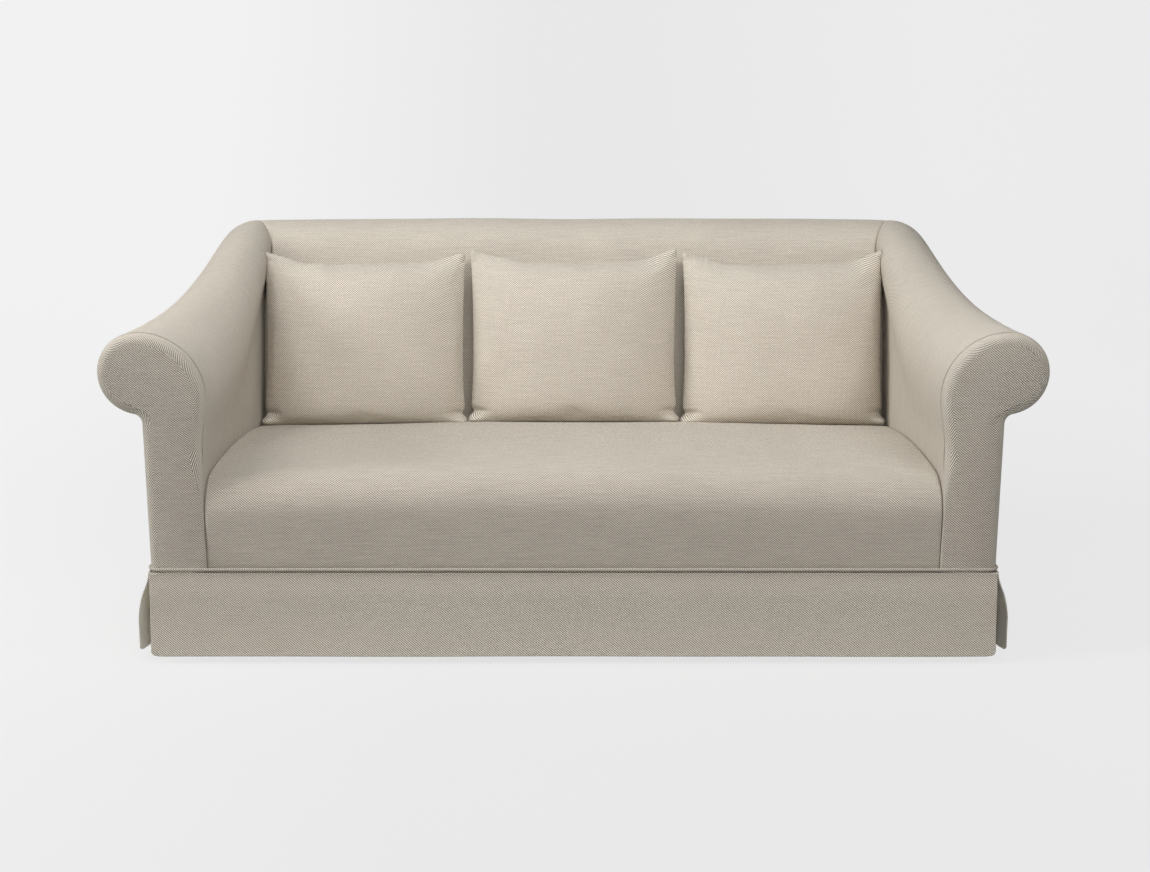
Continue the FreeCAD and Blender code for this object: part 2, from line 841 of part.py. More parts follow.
def make_welt(half_length, face, rounded):
    """A cord along one side at the top of the skirt, flat where it lies on the cover.

    It is made along X with its face towards -Y, and may turn round the arm's soft front edges.
    """
    half_chord = math.sqrt(welt_radius ** 2 - welt_stand ** 2)
    straight = half_length - (arm_edge_radius if rounded else 0)

    def section(x):
        top = Vector(x, -face, welt_height + half_chord)
        out = Vector(x, -face - welt_stand - welt_radius, welt_height)
        bottom = Vector(x, -face, welt_height - half_chord)
        return Part.Face(Part.Wire([arc(top, out, bottom), line(bottom, top)]))

    cord = section(-straight).extrude(Vector(2 * straight, 0, 0))
    if rounded:
        for x_side in (-1, 1):
            corner = Vector(x_side * straight, -face + arm_edge_radius, welt_height)
            cord = cord.fuse(section(x_side * straight).revolve(corner, Vector(0, 0, 1), 90 * x_side))
    return cord.removeSplitter()


def skirt_section(flare, bottom, top):
    """A lined cloth panel seen from its end: straight, an outward S-bend, then plumb again."""
    turn = 2 * math.atan2(flare, skirt_bend_height)
    radius = skirt_bend_height / (2 * math.sin(turn))
    half = skirt_thickness / 2
    bend_top = top - skirt_straight
    bend_foot = bend_top - skirt_bend_height

    def upper(distance, share):
        """A point on the upper bend, whose middle lies outside the panel."""
        angle = turn * share
        return Vector(0, -half - radius + distance * math.cos(angle),
                      bend_top - distance * math.sin(angle))

    def lower(distance, share):
        """A point on the lower bend, whose middle lies behind the panel."""
        angle = turn * share
        return Vector(0, -half - flare + radius - distance * math.cos(angle),
                      bend_foot + distance * math.sin(angle))

    inside_top, inside_foot = radius + half, radius - half
    outside_top, outside_foot = radius - half, radius + half
    edges = [
        line(Vector(0, 0, top), upper(inside_top, 0)),
        arc(upper(inside_top, 0), upper(inside_top, 0.5), upper(inside_top, 1)),
        arc(lower(inside_foot, 1), lower(inside_foot, 0.5), lower(inside_foot, 0)),
        line(lower(inside_foot, 0), Vector(0, -flare, bottom)),
        line(Vector(0, -flare, bottom), Vector(0, -flare - skirt_thickness, bottom)),
        line(Vector(0, -flare - skirt_thickness, bottom), lower(outside_foot, 0)),
        arc(lower(outside_foot, 0), lower(outside_foot, 0.5), lower(outside_foot, 1)),
        arc(upper(outside_top, 1), upper(outside_top, 0.5), upper(outside_top, 0)),
        line(upper(outside_top, 0), Vector(0, -skirt_thickness, top)),
        line(Vector(0, -skirt_thickness, top), Vector(0, 0, top)),
    ]
    return Part.Face(Part.Wire(edges))


def make_skirt(half_length, face, flare, turn):
    """One skirt panel with rounded bottom corners, turned to its side of the sofa."""
    panel = skirt_section(flare, skirt_floor_gap, skirt_top)
    panel.translate(Vector(-half_length, -face - cloth_gap, 0))
    panel = panel.extrude(Vector(2 * half_length, 0, 0))
    depth = flare + 2 * skirt_thickness
    plate = block((-half_length, half_length), (-face - depth, -face), (skirt_floor_gap, skirt_top))
    corners = [edge for edge in plate.Edges
               if edge.BoundBox.ZMax < skirt_floor_gap + cloth_gap and edge.BoundBox.XLength < cloth_gap]
    panel = panel.common(plate.makeFillet(skirt_corner_radius, corners))
    return panel.rotated(Vector(0, 0, 0), Vector(0, 0, 1), turn)


def pillow_section(across, edge_inset, face_inset):
    """The pillow cut across its width: a seam above and below, and a crowned face each side."""
    half_width = pillow_width / 2 - edge_inset
    share = abs(across) / half_width
    fullness = max(1 - share ** pillow_flatness, 0) ** pillow_fullness
    least = pillow_seam - face_inset / 2
    crown = least + (pillow_crown - face_inset - least) * fullness
    top = pillow_height - edge_inset - pillow_top_sag * (1 - share ** 2)
    bottom = edge_inset
    middle = bottom + (top - bottom) * pillow_belly_share
    half_seam = (pillow_seam - face_inset) / 2

    def place(out, height):
        return Vector(across, out, height)

    edges = [
        line(place(half_seam, bottom), place(-half_seam, bottom)),
        arc(place(-half_seam, bottom), place(-crown, middle), place(-half_seam, top)),
        line(place(-half_seam, top), place(half_seam, top)),
        arc(place(half_seam, top), place(crown, middle), place(half_seam, bottom)),
    ]
    return Part.Wire(edges)


def make_pillow_form(edge_inset, face_inset):
    """A crowned square pillow standing on its edge, with drawn-in sides and pointed top corners."""
    half_width = pillow_width / 2 - edge_inset
    form = Part.makeLoft([pillow_section(half_width * share, edge_inset, face_inset)
                          for share in pillow_section_shares], True, False)
    reach = 2 * pillow_crown

    def place(x, z):
        return Vector(x, -reach, z)

    draw_x = half_width - pillow_side_draw
    low, middle, high = 0.0, pillow_height / 2, pillow_height
    edges = [
        line(place(-half_width, low), place(half_width, low)),
        arc(place(half_width, low), place(draw_x, middle), place(half_width, high)),
        line(place(half_width, high), place(-half_width, high)),
        arc(place(-half_width, high), place(-draw_x, middle), place(-half_width, low)),
    ]
    outline = Part.Face(Part.Wire(edges)).extrude(Vector(0, 2 * reach, 0))
    return form.common(outline)


def settle_pillow(form, x, seat_body, gap):
    """Leans a pillow on the back, with its foot and rear flattened where they rest."""
    seat_z = seat_crest_height
    foot_y = back_face_y(seat_z) - pillow_back_depth / math.cos(rake)
    crown_share = 1 - (x / half_seat) ** 2
    drop = (foot_y + half_depth - seat_crest_setback) ** 2 / (2 * seat_top_radius)
    foot_z = seat_crest_height + seat_crown * crown_share - drop - pillow_sink
    pillow = form.rotated(Vector(0, 0, 0), Vector(1, 0, 0), -back_rake)
    pillow.translate(Vector(x, foot_y, foot_z))
    rest = seat_body.translated(Vector(0, 0, gap))
    support = raked_layer(-gap, back_frame_offset, (rail_top, 2 * back_height),
                          (-half_seat, half_seat))
    return pillow.cut(rest).cut(support)


def drilled(piece, fasteners):
    """The piece with a hole for each fastener that enters it."""
    entering = [fastener for fastener in fasteners if fastener.BoundBox.intersect(piece.BoundBox)]
    if not entering:
        return piece
    return piece.cut(Part.makeCompound(entering))


def make_sofa():
    """Every piece of the sofa under its node's name."""
    dowels = make_dowels()
    screws = make_corner_screws()
    bolts = make_foot_bolts()
    springs = make_seat_springs()
    fasteners = dowels + screws + bolts
    seat_back_rail = make_seat_back_rail()
    front_joint = rail_front + rail_thickness
    back_joint = rail_back - rail_thickness
    rail_z = (frame_bottom, rail_top)
    side_rail = block((rail_side - rail_thickness, rail_side), (front_joint, back_joint), rail_z)
    inner_rail = block((inner_rail_outside - rail_thickness, inner_rail_outside),
                       (front_joint, back_joint), rail_z)
    tack_rail = make_arm_tack_rail()
    right_side = {
        "side_rail": side_rail,
        "back_post": make_back_post(),
        "arm_front_post": make_arm_front_post(),
        "arm_back_post": make_arm_back_post(),
        "arm_top_rail": make_arm_top_rail(),
        "scroll_board": make_scroll_board(),
    }
    feet = {name: make_foot(x, y) for name, (x, y) in foot_places().items()}
    wood = {
        "front_rail": [block((-rail_side, rail_side), (rail_front, front_joint), rail_z)],
        "back_rail": [block((-rail_side, rail_side), (back_joint, rail_back), rail_z)],
        "seat_back_rail": [seat_back_rail],
        "stretchers": make_stretchers(seat_back_rail),
        "corner_blocks": make_corner_blocks(),
        "back_top_rail": [make_back_top_rail()],
        "back_lower_rail": [make_back_lower_rail()],
        "back_uprights": make_back_uprights(),
        "dust_cover": [make_dust_cover()],
        "inner_rails": [inner_rail, mirrored(inner_rail)],
        "arm_tack_rails": [tack_rail, mirrored(tack_rail)],
        "feet_middle": [feet.pop("middle_front"), feet.pop("middle_back")],
    }
    for name, shape in right_side.items():
        wood[name + "_right"] = [shape]
        wood[name + "_left"] = [mirrored(shape)]
    for name, foot in feet.items():
        wood["foot_" + name] = [foot]
    pieces = {name: [drilled(shape, fasteners) for shape in shapes] for name, shapes in wood.items()}

    pieces["frame_dowels"] = dowels
    pieces["corner_screws"] = screws
    pieces["foot_bolts"] = bolts
    pieces["foot_glides"] = make_glides()
    pieces["seat_springs"] = springs
    pieces["spring_clips"] = [drilled(clip, springs) for clip in make_spring_clips()]
    pieces["tie_wires"] = make_tie_wires()
    pieces["seat_insulator"] = [make_insulator()]

    seat_body = make_seat_body()
    seat_foam = make_seat_foam()
    arm_pad = make_arm_pad()
    outside_arm = make_outside_arm()
    pieces["seat_foam"] = [seat_foam]
    pieces["seat_pad"] = [seat_body.cut(seat_foam)]
    pieces["back_webbing"] = make_back_webbing()
    pieces["back_foam"] = [make_back_foam()]
    pieces["back_pad"] = [make_back_pad()]
    pieces["outside_back"] = [make_outside_back()]
    pieces["arm_pad_right"] = [arm_pad]
    pieces["arm_pad_left"] = [mirrored(arm_pad)]
    pieces["outside_arm_right"] = [outside_arm]
    pieces["outside_arm_left"] = [mirrored(outside_arm)]

    side_welt = make_welt(half_depth - arm_edge_radius / 2, half_body, False)
    side_welt.translate(Vector(arm_edge_radius / 2, 0, 0))
    right_welt = side_welt.rotated(Vector(0, 0, 0), Vector(0, 0, 1), 90)
    back_welt = make_welt(half_body + welt_radius, half_depth, False)
    pieces["welt_front"] = [make_welt(half_body, half_depth, True)]
    pieces["welt_right"] = [right_welt]
    pieces["welt_left"] = [mirrored(right_welt)]
    pieces["welt_back"] = [back_welt.rotated(Vector(0, 0, 0), Vector(0, 0, 1), 180)]

    side_length = half_depth - skirt_corner_slit
    pieces["skirt_front"] = [make_skirt(half_body, half_depth, skirt_end_flare, 0)]
    pieces["skirt_right"] = [make_skirt(side_length, half_body, skirt_side_flare, 90)]
    pieces["skirt_back"] = [make_skirt(half_body, half_depth, skirt_end_flare, 180)]
    pieces["skirt_left"] = [make_skirt(side_length, half_body, skirt_side_flare, -90)]

    cover = make_pillow_form(0.0, 0.0)
    filling = make_pillow_form(pillow_seam_allowance, pillow_cover_thickness)
    for i, side in enumerate(("left", "middle", "right")):
        x = (i - 1) * (pillow_width + pillow_gap)
        outside = settle_pillow(cover, x, seat_body, cloth_gap)
        inside = settle_pillow(filling, x, seat_body, cloth_gap + pillow_cover_thickness)
        pieces["pillow_cover_" + side] = [outside.cut(inside)]
        pieces["pillow_filling_" + side] = [inside]
    return pieces


def as_one(shapes):
    """One shape that holds all the solids of a node."""
    solids = [solid for shape in shapes for solid in shape.Solids]
    return solids[0] if len(solids) == 1 else Part.makeCompound(solids)


os.makedirs("parts", exist_ok=True)
sofa = make_sofa()
for name, shapes in sofa.items():
    as_one(shapes).exportStep("parts/" + name + ".step")
print(len(sofa), "nodes,", sum(len(as_one(shapes).Solids) for shapes in sofa.values()), "solids")
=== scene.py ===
# %% [markdown]
# # A skirted sofa with scrolled arms
#
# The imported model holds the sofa's frame, springs and feet, and a plain solid for each soft
# part. This lesson keeps the wood and metal, replaces every soft part with a piece of its own,
# and makes the woven cloth that covers them. Lengths are in metres. +X is to the right of
# someone who faces the sofa, its front is towards -Y, and the floor is at Z = 0.

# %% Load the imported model
import json
import math

import bmesh
import bpy
import numpy as np
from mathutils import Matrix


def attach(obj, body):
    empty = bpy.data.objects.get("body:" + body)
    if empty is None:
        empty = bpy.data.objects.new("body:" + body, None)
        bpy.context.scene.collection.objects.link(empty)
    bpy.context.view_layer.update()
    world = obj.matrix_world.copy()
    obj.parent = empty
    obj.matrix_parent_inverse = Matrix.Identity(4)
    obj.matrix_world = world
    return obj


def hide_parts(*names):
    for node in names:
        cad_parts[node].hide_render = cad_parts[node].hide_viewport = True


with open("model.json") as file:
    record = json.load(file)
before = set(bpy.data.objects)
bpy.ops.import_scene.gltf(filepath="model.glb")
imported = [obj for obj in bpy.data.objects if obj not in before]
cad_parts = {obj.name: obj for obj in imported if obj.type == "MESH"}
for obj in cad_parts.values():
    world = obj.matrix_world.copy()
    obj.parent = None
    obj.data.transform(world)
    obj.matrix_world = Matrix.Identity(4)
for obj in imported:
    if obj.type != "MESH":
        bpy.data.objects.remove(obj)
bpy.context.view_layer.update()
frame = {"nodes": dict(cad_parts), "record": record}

# %% [markdown]
# ## The camera
#
# The photograph looks at the sofa from 3.8 m in front of its middle, 0.3 m above the top of its
# back, and slightly down. The body's upright edges lean towards one point far below, and that
# point gives the tilt. A lens of 47 mm on a 36 mm frame gives the same perspective.

# %% Camera at the photograph's place
camera_place = (0.0036, -3.799, 1.2567)
camera_tilt = math.radians(12.32)
sensor_width = 36.0
focal_share = 1500 / 1150
camera = bpy.data.objects.new("camera", bpy.data.cameras.new("camera"))
camera.location = camera_place
camera.rotation_euler = (math.pi / 2 - camera_tilt, 0.0, 0.0)
camera.data.sensor_width = sensor_width
camera.data.lens = focal_share * sensor_width
bpy.context.scene.collection.objects.link(camera)
bpy.context.scene.camera = camera
print("lens", round(camera.data.lens, 2), "mm")

# %% [markdown]
# ## Sizes
#
# These are the sofa's own sizes. The soft pieces below are worked out from them, so each one
# lands on the frame that carries it.

# %% Sizes of the upholstery
half_seat = 0.845
half_body = 0.9775
half_depth = 0.490
body_depth = 2 * half_depth
body_foot = 0.130
deck_height = 0.292
rail_top = 0.280
back_top = 0.958
back_end_drop = 0.005
back_roll = 0.095
rake = math.radians(11.0)
roll_y = half_depth - back_roll
roll_z = back_top - back_roll
touch_y = roll_y - back_roll * math.cos(rake)
touch_z = roll_z + back_roll * math.sin(rake)
front_padding = 0.012
arm_padding = 0.028
back_padding = 0.081
panel = 0.006
gap = 0.0006


def rise(share):
    """Runs from 0 to 1 with level ends: three squares of the share less two cubes of it."""
    share = np.clip(share, 0.0, 1.0)
    return share * share * (3 - 2 * share)


def back_face(z):
    """The raked front of the tight back at height z: it leans back by the rake's tangent."""
    return touch_y - (touch_z - z) * math.tan(rake)


print("inside back at seat height", round(float(back_face(0.45)), 4))

# %% [markdown]
# ## Grids, shells and cloth coordinates
#
# Every soft piece is a surface over two parameters. A patch is a grid of points with a grid of
# cloth coordinates beside it, in metres along and across the cloth, so that the weave keeps its
# size whatever the shape does. Patches are sewn into one mesh, and points that meet are merged.
# A finished piece is then dressed: it rides on a body, and the imported nodes whose place it takes are
# hidden.

# %% From grids to a mesh
def spread(*values):
    """Two or three values over one grid, stacked so that each place of it holds one of each."""
    return np.stack(np.broadcast_arrays(*values), axis=-1)


def patch(points, cloth=None, flip=False):
    """A grid of points (rows, columns, 3) with cloth coordinates (rows, columns, 2)."""
    points = np.asarray(points, float)
    if cloth is None:
        cloth = cloth_lengths(points)
    if flip:
        points, cloth = points[::-1], cloth[::-1]
    return points, np.asarray(cloth, float)


def cloth_lengths(points):
    """Cloth coordinates by running lengths: along each row, and down the middle column."""
    across = np.linalg.norm(np.diff(points, axis=1), axis=2)
    across = np.concatenate([np.zeros((len(points), 1)), np.cumsum(across, axis=1)], axis=1)
    middle = across.shape[1] // 2
    across = across - across[:, middle:middle + 1]
    down = np.linalg.norm(np.diff(points[:, middle], axis=0), axis=1)
    down = np.concatenate([[0.0], np.cumsum(down)])[:, None]
    return spread(across, down)


def sew(name, patches, material, merge=2e-5):
    """One piece from patches: quads between neighbours in each grid, merged where they meet."""
    points, quads, cloth, start = [], [], [], 0
    for grid, coordinates in patches:
        rows, columns = grid.shape[:2]
        number = start + np.arange(rows * columns).reshape(rows, columns)
        corners = np.stack([number[:-1, :-1], number[:-1, 1:], number[1:, 1:], number[1:, :-1]],
                           axis=2).reshape(-1, 4)
        points.append(grid.reshape(-1, 3))
        quads.append(corners)
        cloth.append(coordinates.reshape(-1, 2)[corners - start].reshape(-1, 2))
        start += rows * columns
    points, quads, cloth = np.concatenate(points), np.concatenate(quads), np.concatenate(cloth)
    mesh = bpy.data.meshes.new(name)
    mesh.vertices.add(len(points))
    mesh.vertices.foreach_set("co", points.ravel())
    mesh.loops.add(len(quads) * 4)
    mesh.loops.foreach_set("vertex_index", quads.ravel())
    mesh.polygons.add(len(quads))
    mesh.polygons.foreach_set("loop_start", np.arange(len(quads)) * 4)
    mesh.polygons.foreach_set("loop_total", np.full(len(quads), 4))
    mesh.uv_layers.new(name="cloth").data.foreach_set("uv", cloth.ravel())
    mesh.update()
    mesh.validate()
    tidy_mesh(mesh, merge)
    mesh.materials.append(material)
    piece = bpy.data.objects.new(name, mesh)
    bpy.context.scene.collection.objects.link(piece)
    return piece


def tidy_mesh(mesh, merge):
    """Merges points that coincide, drops flat faces, and turns every face outwards."""
    work = bmesh.new()
    work.from_mesh(mesh)
    bmesh.ops.remove_doubles(work, verts=work.verts, dist=merge)
    bmesh.ops.dissolve_degenerate(work, edges=work.edges, dist=merge / 2)
    bmesh.ops.recalc_face_normals(work, faces=work.faces)
    if work.calc_volume(signed=True) < 0:
        bmesh.ops.reverse_faces(work, faces=work.faces)
    work.to_mesh(mesh)
    work.free()
    mesh.polygons.foreach_set("use_smooth", np.ones(len(mesh.polygons), bool))


def face_normals(piece):
    """The normal of each face as rows of three numbers."""
    facing = np.empty(len(piece.data.polygons) * 3)
    piece.data.polygons.foreach_get("normal", facing)
    return facing.reshape(-1, 3)


def report(piece):
    """Prints a piece's size, its triangles and how many of its edges are open."""
    work = bmesh.new()
    work.from_mesh(piece.data)
    loose = sum(1 for edge in work.edges if len(edge.link_faces) != 2)
    triangles = sum(len(face.verts) - 2 for face in work.faces)
    low = np.min([v.co for v in work.verts], axis=0)
    high = np.max([v.co for v in work.verts], axis=0)
    print(piece.name, "from", low.round(3), "to", high.round(3), triangles, "triangles,",
          loose, "open edges")
    work.free()


def dress(piece, body, slot, *nodes):
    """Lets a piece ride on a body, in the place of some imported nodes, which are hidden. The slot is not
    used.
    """
    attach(piece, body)
    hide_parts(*nodes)


def shell(outer, inner, cloth=None, rims=("first_row", "last_row", "first_column", "last_column")):
    """A closed wall: the outer grid, the inner grid turned round, and strips along the rims."""
    outer_patch = patch(outer, cloth)
    coordinates = outer_patch[1]
    pieces = [outer_patch, patch(inner, coordinates, flip=True)]
    edge = {"first_row": (slice(0, 1), slice(None)), "last_row": (slice(-1, None), slice(None)),
            "first_column": (slice(None), slice(0, 1)), "last_column": (slice(None), slice(-1, None))}
    for rim in rims:
        rows, columns = edge[rim]
        axis = 0 if "row" in rim else 1
        strip = np.concatenate([outer[rows, columns], inner[rows, columns]], axis=axis)
        cloth_strip = np.concatenate([coordinates[rows, columns], coordinates[rows, columns]], axis=axis)
        wall = np.linalg.norm(outer[rows, columns] - inner[rows, columns], axis=2)
        if axis == 0:
            cloth_strip[1, :, 1] += wall[0]
        else:
            cloth_strip[:, 1, 0] += wall[:, 0]
        pieces.append((strip, cloth_strip))
    return pieces


def normals(grid):
    """Unit normals of a grid: the cross product of its two parameter directions."""
    down = np.gradient(grid, axis=0)
    along = np.gradient(grid, axis=1)
    normal = np.cross(along, down)
    return normal / np.maximum(np.linalg.norm(normal, axis=2, keepdims=True), 1e-12)


def ripples(points, wavelength, seed, count=9):
    """A smooth field about 0: seeded sine waves, summed and divided by the root of their number."""
    draw = np.random.default_rng(seed)
    ways = draw.normal(size=(count, 3))
    ways *= (2 * math.pi / wavelength) * draw.uniform(0.6, 1.4, (count, 1)) / np.linalg.norm(
        ways, axis=1, keepdims=True)
    phases = draw.uniform(0, 2 * math.pi, count)
    return np.sin(points @ ways.T + phases).sum(axis=-1) / math.sqrt(count)


print("helpers ready")

# %% [markdown]
# ## Node helpers
#
# A material is a small program of nodes. The helpers keep the building short: some add one node
# each and hand back its result, one opens a group with named sockets, one opens a material, and
# one places a group in a material.

# %% Building nodes
class Nodes:
    """Adds nodes to one tree. A value that is a socket is linked, and any other value is set."""

    def __init__(self, tree):
        self.tree = tree

    def fill(self, socket, value):
        """Links a socket into another one, or sets a plain value on it."""
        if isinstance(value, bpy.types.NodeSocket):
            self.tree.links.new(value, socket)
        else:
            socket.default_value = value

    def add(self, kind, inputs=None, **settings):
        """A node of a kind, with its settings and its inputs by name or number."""
        node = self.tree.nodes.new("ShaderNode" + kind)
        for name, value in settings.items():
            setattr(node, name, value)
        for name, value in (inputs or {}).items():
            self.fill(node.inputs[name], value)
        return node

    def math(self, operation, first, second=0.0, clamp=False):
        """The result of an arithmetic node on two values."""
        node = self.tree.nodes.new("ShaderNodeMath")
        node.operation = operation
        node.use_clamp = clamp
        self.fill(node.inputs[0], first)
        self.fill(node.inputs[1], second)
        return node.outputs[0]

    def blend(self, share, first, second, kind="RGBA"):
        """Mixes two colours or two numbers by a share from 0 to 1."""
        node = self.tree.nodes.new("ShaderNodeMix")
        node.data_type = kind
        offset = {"RGBA": 6, "FLOAT": 2}[kind]
        self.fill(node.inputs[0], share)
        self.fill(node.inputs[offset], first)
        self.fill(node.inputs[offset + 1], second)
        return node.outputs[{"RGBA": 2, "FLOAT": 0}[kind]]

    def span(self, value, low, high, to_low=0.0, to_high=1.0):
        """Maps one range of numbers onto another and stops at its ends."""
        return self.add("MapRange", {"Value": value, "From Min": low, "From Max": high,
                                     "To Min": to_low, "To Max": to_high}).outputs["Result"]

    def noise(self, vector, scale, detail=2.0, roughness=0.5):
        """A cloudy value about 0.5 that changes over one part in its scale of a metre."""
        return self.add("TexNoise", {"Vector": vector, "Scale": scale, "Detail": detail,
                                     "Roughness": roughness}).outputs["Fac"]

    def mapped(self, vector, **settings):
        """A vector that is scaled or turned."""
        return self.add("Mapping", {"Vector": vector, **settings}).outputs["Vector"]

    def bump(self, shader, height, distance, strength):
        """Tilts a shader's normal by the slope of a height."""
        node = self.add("Bump", {"Height": height, "Distance": distance, "Strength": strength})
        self.fill(shader.inputs["Normal"], node.outputs["Normal"])


def new_group(name, inputs, outputs):
    """A shader node group with named inputs and outputs: (name, kind, default) rows."""
    tree = bpy.data.node_groups.new(name, "ShaderNodeTree")
    for label, kind, value in inputs:
        socket = tree.interface.new_socket(label, in_out="INPUT", socket_type="NodeSocket" + kind)
        if value is not None:
            socket.default_value = value
    for label, kind in outputs:
        tree.interface.new_socket(label, in_out="OUTPUT", socket_type="NodeSocket" + kind)
    nodes = Nodes(tree)
    entry = tree.nodes.new("NodeGroupInput")
    leave = tree.nodes.new("NodeGroupOutput")
    return nodes, entry.outputs, leave.inputs


def new_material(name, roughness, metallic=0.0, sheen=0.0):
    """A material with a Principled BSDF. Returns it, its nodes and the shader."""
    material = bpy.data.materials.new(name)
    material.use_nodes = True
    tree = material.node_tree
    tree.nodes.clear()
    nodes = Nodes(tree)
    shader = nodes.add("BsdfPrincipled")
    shader.inputs["Roughness"].default_value = roughness
    shader.inputs["Metallic"].default_value = metallic
    shader.inputs["Sheen Weight"].default_value = sheen
    output = nodes.add("OutputMaterial")
    tree.links.new(shader.outputs["BSDF"], output.inputs["Surface"])
    return material, nodes, shader


def place(nodes, group, inputs):
    """Puts a node group into a material and fills its inputs."""
    node = nodes.tree.nodes.new("ShaderNodeGroup")
    node.node_tree = bpy.data.node_groups[group]
    for name, value in inputs.items():
        nodes.fill(node.inputs[name], value)
    return node.outputs


print("node helpers ready")

# %% [markdown]
# ## The weave
#
# The cloth is a coarse two-by-two twill. Each ivory upright thread passes over two taupe level
# threads and under the next two, and every column starts one step lower than the last, so fine
# diagonals run down to the right. A bitmap would blur up close, so a node group works the
# pattern out from thread numbers: the whole part of a cloth coordinate counts the threads, and
# the rest says where across a thread a point lies.

# %% The twill group
thread_bow = 0.002
level_thread_share = 0.82


def build_twill():
    """Adds the twill group, which gives a weave's pattern, shade, height and diagonals."""
    n, given, made = new_group(
        "twill",
        [("Cloth", "Vector", None), ("Thread", "Float", 0.0016)],
        [("Upright", "Float"), ("Shade", "Float"), ("Height", "Float"), ("Diagonal", "Float")])
    parts = n.add("SeparateXYZ", {"Vector": given["Cloth"]}).outputs
    bow = n.math("SUBTRACT", n.noise(given["Cloth"], 7.0, 1.0), 0.5)
    lean = n.math("MULTIPLY", bow, thread_bow)
    x = n.math("DIVIDE", n.math("ADD", parts["X"], lean), given["Thread"])
    level_thread = n.math("MULTIPLY", given["Thread"], level_thread_share)
    y = n.math("DIVIDE", n.math("ADD", parts["Y"], lean), level_thread)
    column, row = n.math("FLOOR", x), n.math("FLOOR", y)

    def bulge(place):
        """The round top of a thread: one less four squares of the way off its middle."""
        across = n.math("SUBTRACT", n.math("FRACT", place), 0.5)
        return n.math("SUBTRACT", 1.0, n.math("MULTIPLY", n.math("MULTIPLY", across, across), 4.0))

    def crossing(travel, start):
        """A thread's rise over the two it crosses: a sine with four steps to its wave."""
        return n.math("SINE", n.math("MULTIPLY", n.math("ADD", travel, start), math.pi / 2))

    upright_top = n.math("ADD", n.math("MULTIPLY", bulge(x), 0.5),
                         n.math("MULTIPLY", crossing(n.math("ADD", column, y), 0.0), 0.5))
    level_top = n.math("ADD", n.math("MULTIPLY", bulge(y), 0.5),
                       n.math("MULTIPLY", crossing(n.math("ADD", row, x), 2.0), 0.5))
    upright = n.math("GREATER_THAN", upright_top, level_top)

    def thread_shade(number, along, seed):
        """Slubs: one slow noise for each thread number, stretched along the thread."""
        run = n.add("CombineXYZ", {"X": n.math("MULTIPLY", number, 0.61),
                                   "Y": n.math("MULTIPLY", along, 0.022), "Z": seed})
        return n.noise(run.outputs["Vector"], 1.0, 2.0, 0.6)

    n.fill(made["Upright"], upright)
    level_shade, upright_shade = thread_shade(row, x, 7.0), thread_shade(column, y, 3.0)
    n.fill(made["Shade"], n.blend(upright, level_shade, upright_shade, "FLOAT"))
    n.fill(made["Height"], n.math("MAXIMUM", upright_top, level_top))
    n.fill(made["Diagonal"], crossing(n.math("ADD", x, y), -0.5))


build_twill()
print("twill group ready")

# %% [markdown]
# ## Cloth finishes
#
# Linen is dry and matt with a faint bloom where light grazes it. Each cloth places the twill group with
# ivory upright threads over taupe level ones, spread by its own contrast, and a strength then darkens or
# lightens the whole copy. That strength is painted shade and painted light: the arm fronts and the welt are
# darker copies, and the back, the pillows and most of all the skirt are lighter ones. Long level slubs, some
# pale and some dark, and faint clouds of tone keep a big plain face from looking printed. The valleys
# between the diagonals are darkened a little, because light doesn't reach their floor.

# %% Woven linen
ivory = (0.770, 0.711, 0.615)
taupe = (0.370, 0.327, 0.271)
palest = (0.93, 0.86, 0.745)


def tint(colour, strength):
    """A colour multiplied by a strength, with the alpha that a socket expects."""
    return [channel * strength for channel in colour] + [1.0]


def linen(name, diagonal=0.24, contrast=1.0, bias=0.0, slubs=1.0, strength=1.0, thread=0.0016):
    """Woven linen: the two yarn colours lie about their mean by the contrast, and the strength scales both,
    which paints light or shade over the whole copy.
    """
    mean = (np.array(ivory) + np.array(taupe)) / 2
    light, dark = (mean + (np.array(yarn) - mean) * contrast for yarn in (ivory, taupe))
    material, n, shader = new_material(name, 0.94, sheen=0.10)
    shader.inputs["Sheen Roughness"].default_value = 0.5
    shader.inputs["Specular IOR Level"].default_value = 0.2
    cloth = n.add("UVMap", uv_map="cloth").outputs["UV"]
    if bias:
        cloth = n.mapped(cloth, Rotation=(0, 0, bias))
    weave = place(n, "twill", {"Cloth": cloth, "Thread": thread})
    low = n.blend(weave["Shade"], tint(dark, 0.86 * strength), tint(dark, 1.14 * strength))
    high = n.blend(weave["Shade"], tint(light, 0.93 * strength), tint(light, 1.07 * strength))
    colour = n.blend(weave["Upright"], low, high)
    level = n.noise(n.mapped(cloth, Scale=(11.0, 300.0, 1.0)), 1.0, 3.0, 0.6)
    fine = n.noise(n.mapped(cloth, Scale=(45.0, 620.0, 1.0)), 1.0, 2.0, 0.5)
    tone = n.math("ADD", n.span(level, 0.3, 0.7, -0.10 * slubs, 0.10 * slubs),
                  n.span(fine, 0.3, 0.7, -0.06 * slubs, 0.06 * slubs))
    tone = n.math("ADD", tone, n.span(n.noise(cloth, 5.0, 3.0), 0.3, 0.7, 0.975, 1.025))
    tone = n.math("ADD", tone, n.math("MULTIPLY", weave["Diagonal"], diagonal))
    tone = n.math("MULTIPLY", tone, n.span(weave["Height"], 0.2, 0.8, 1 - 0.14 * contrast, 1.0))
    shaded = n.add("VectorMath", {0: colour, "Scale": tone}, operation="SCALE").outputs["Vector"]
    shaded = n.add("VectorMath", {0: shaded, 1: palest}, operation="MINIMUM").outputs["Vector"]
    n.fill(shader.inputs["Base Color"], shaded)
    n.bump(shader, weave["Height"], 0.0005, 0.5)
    return material
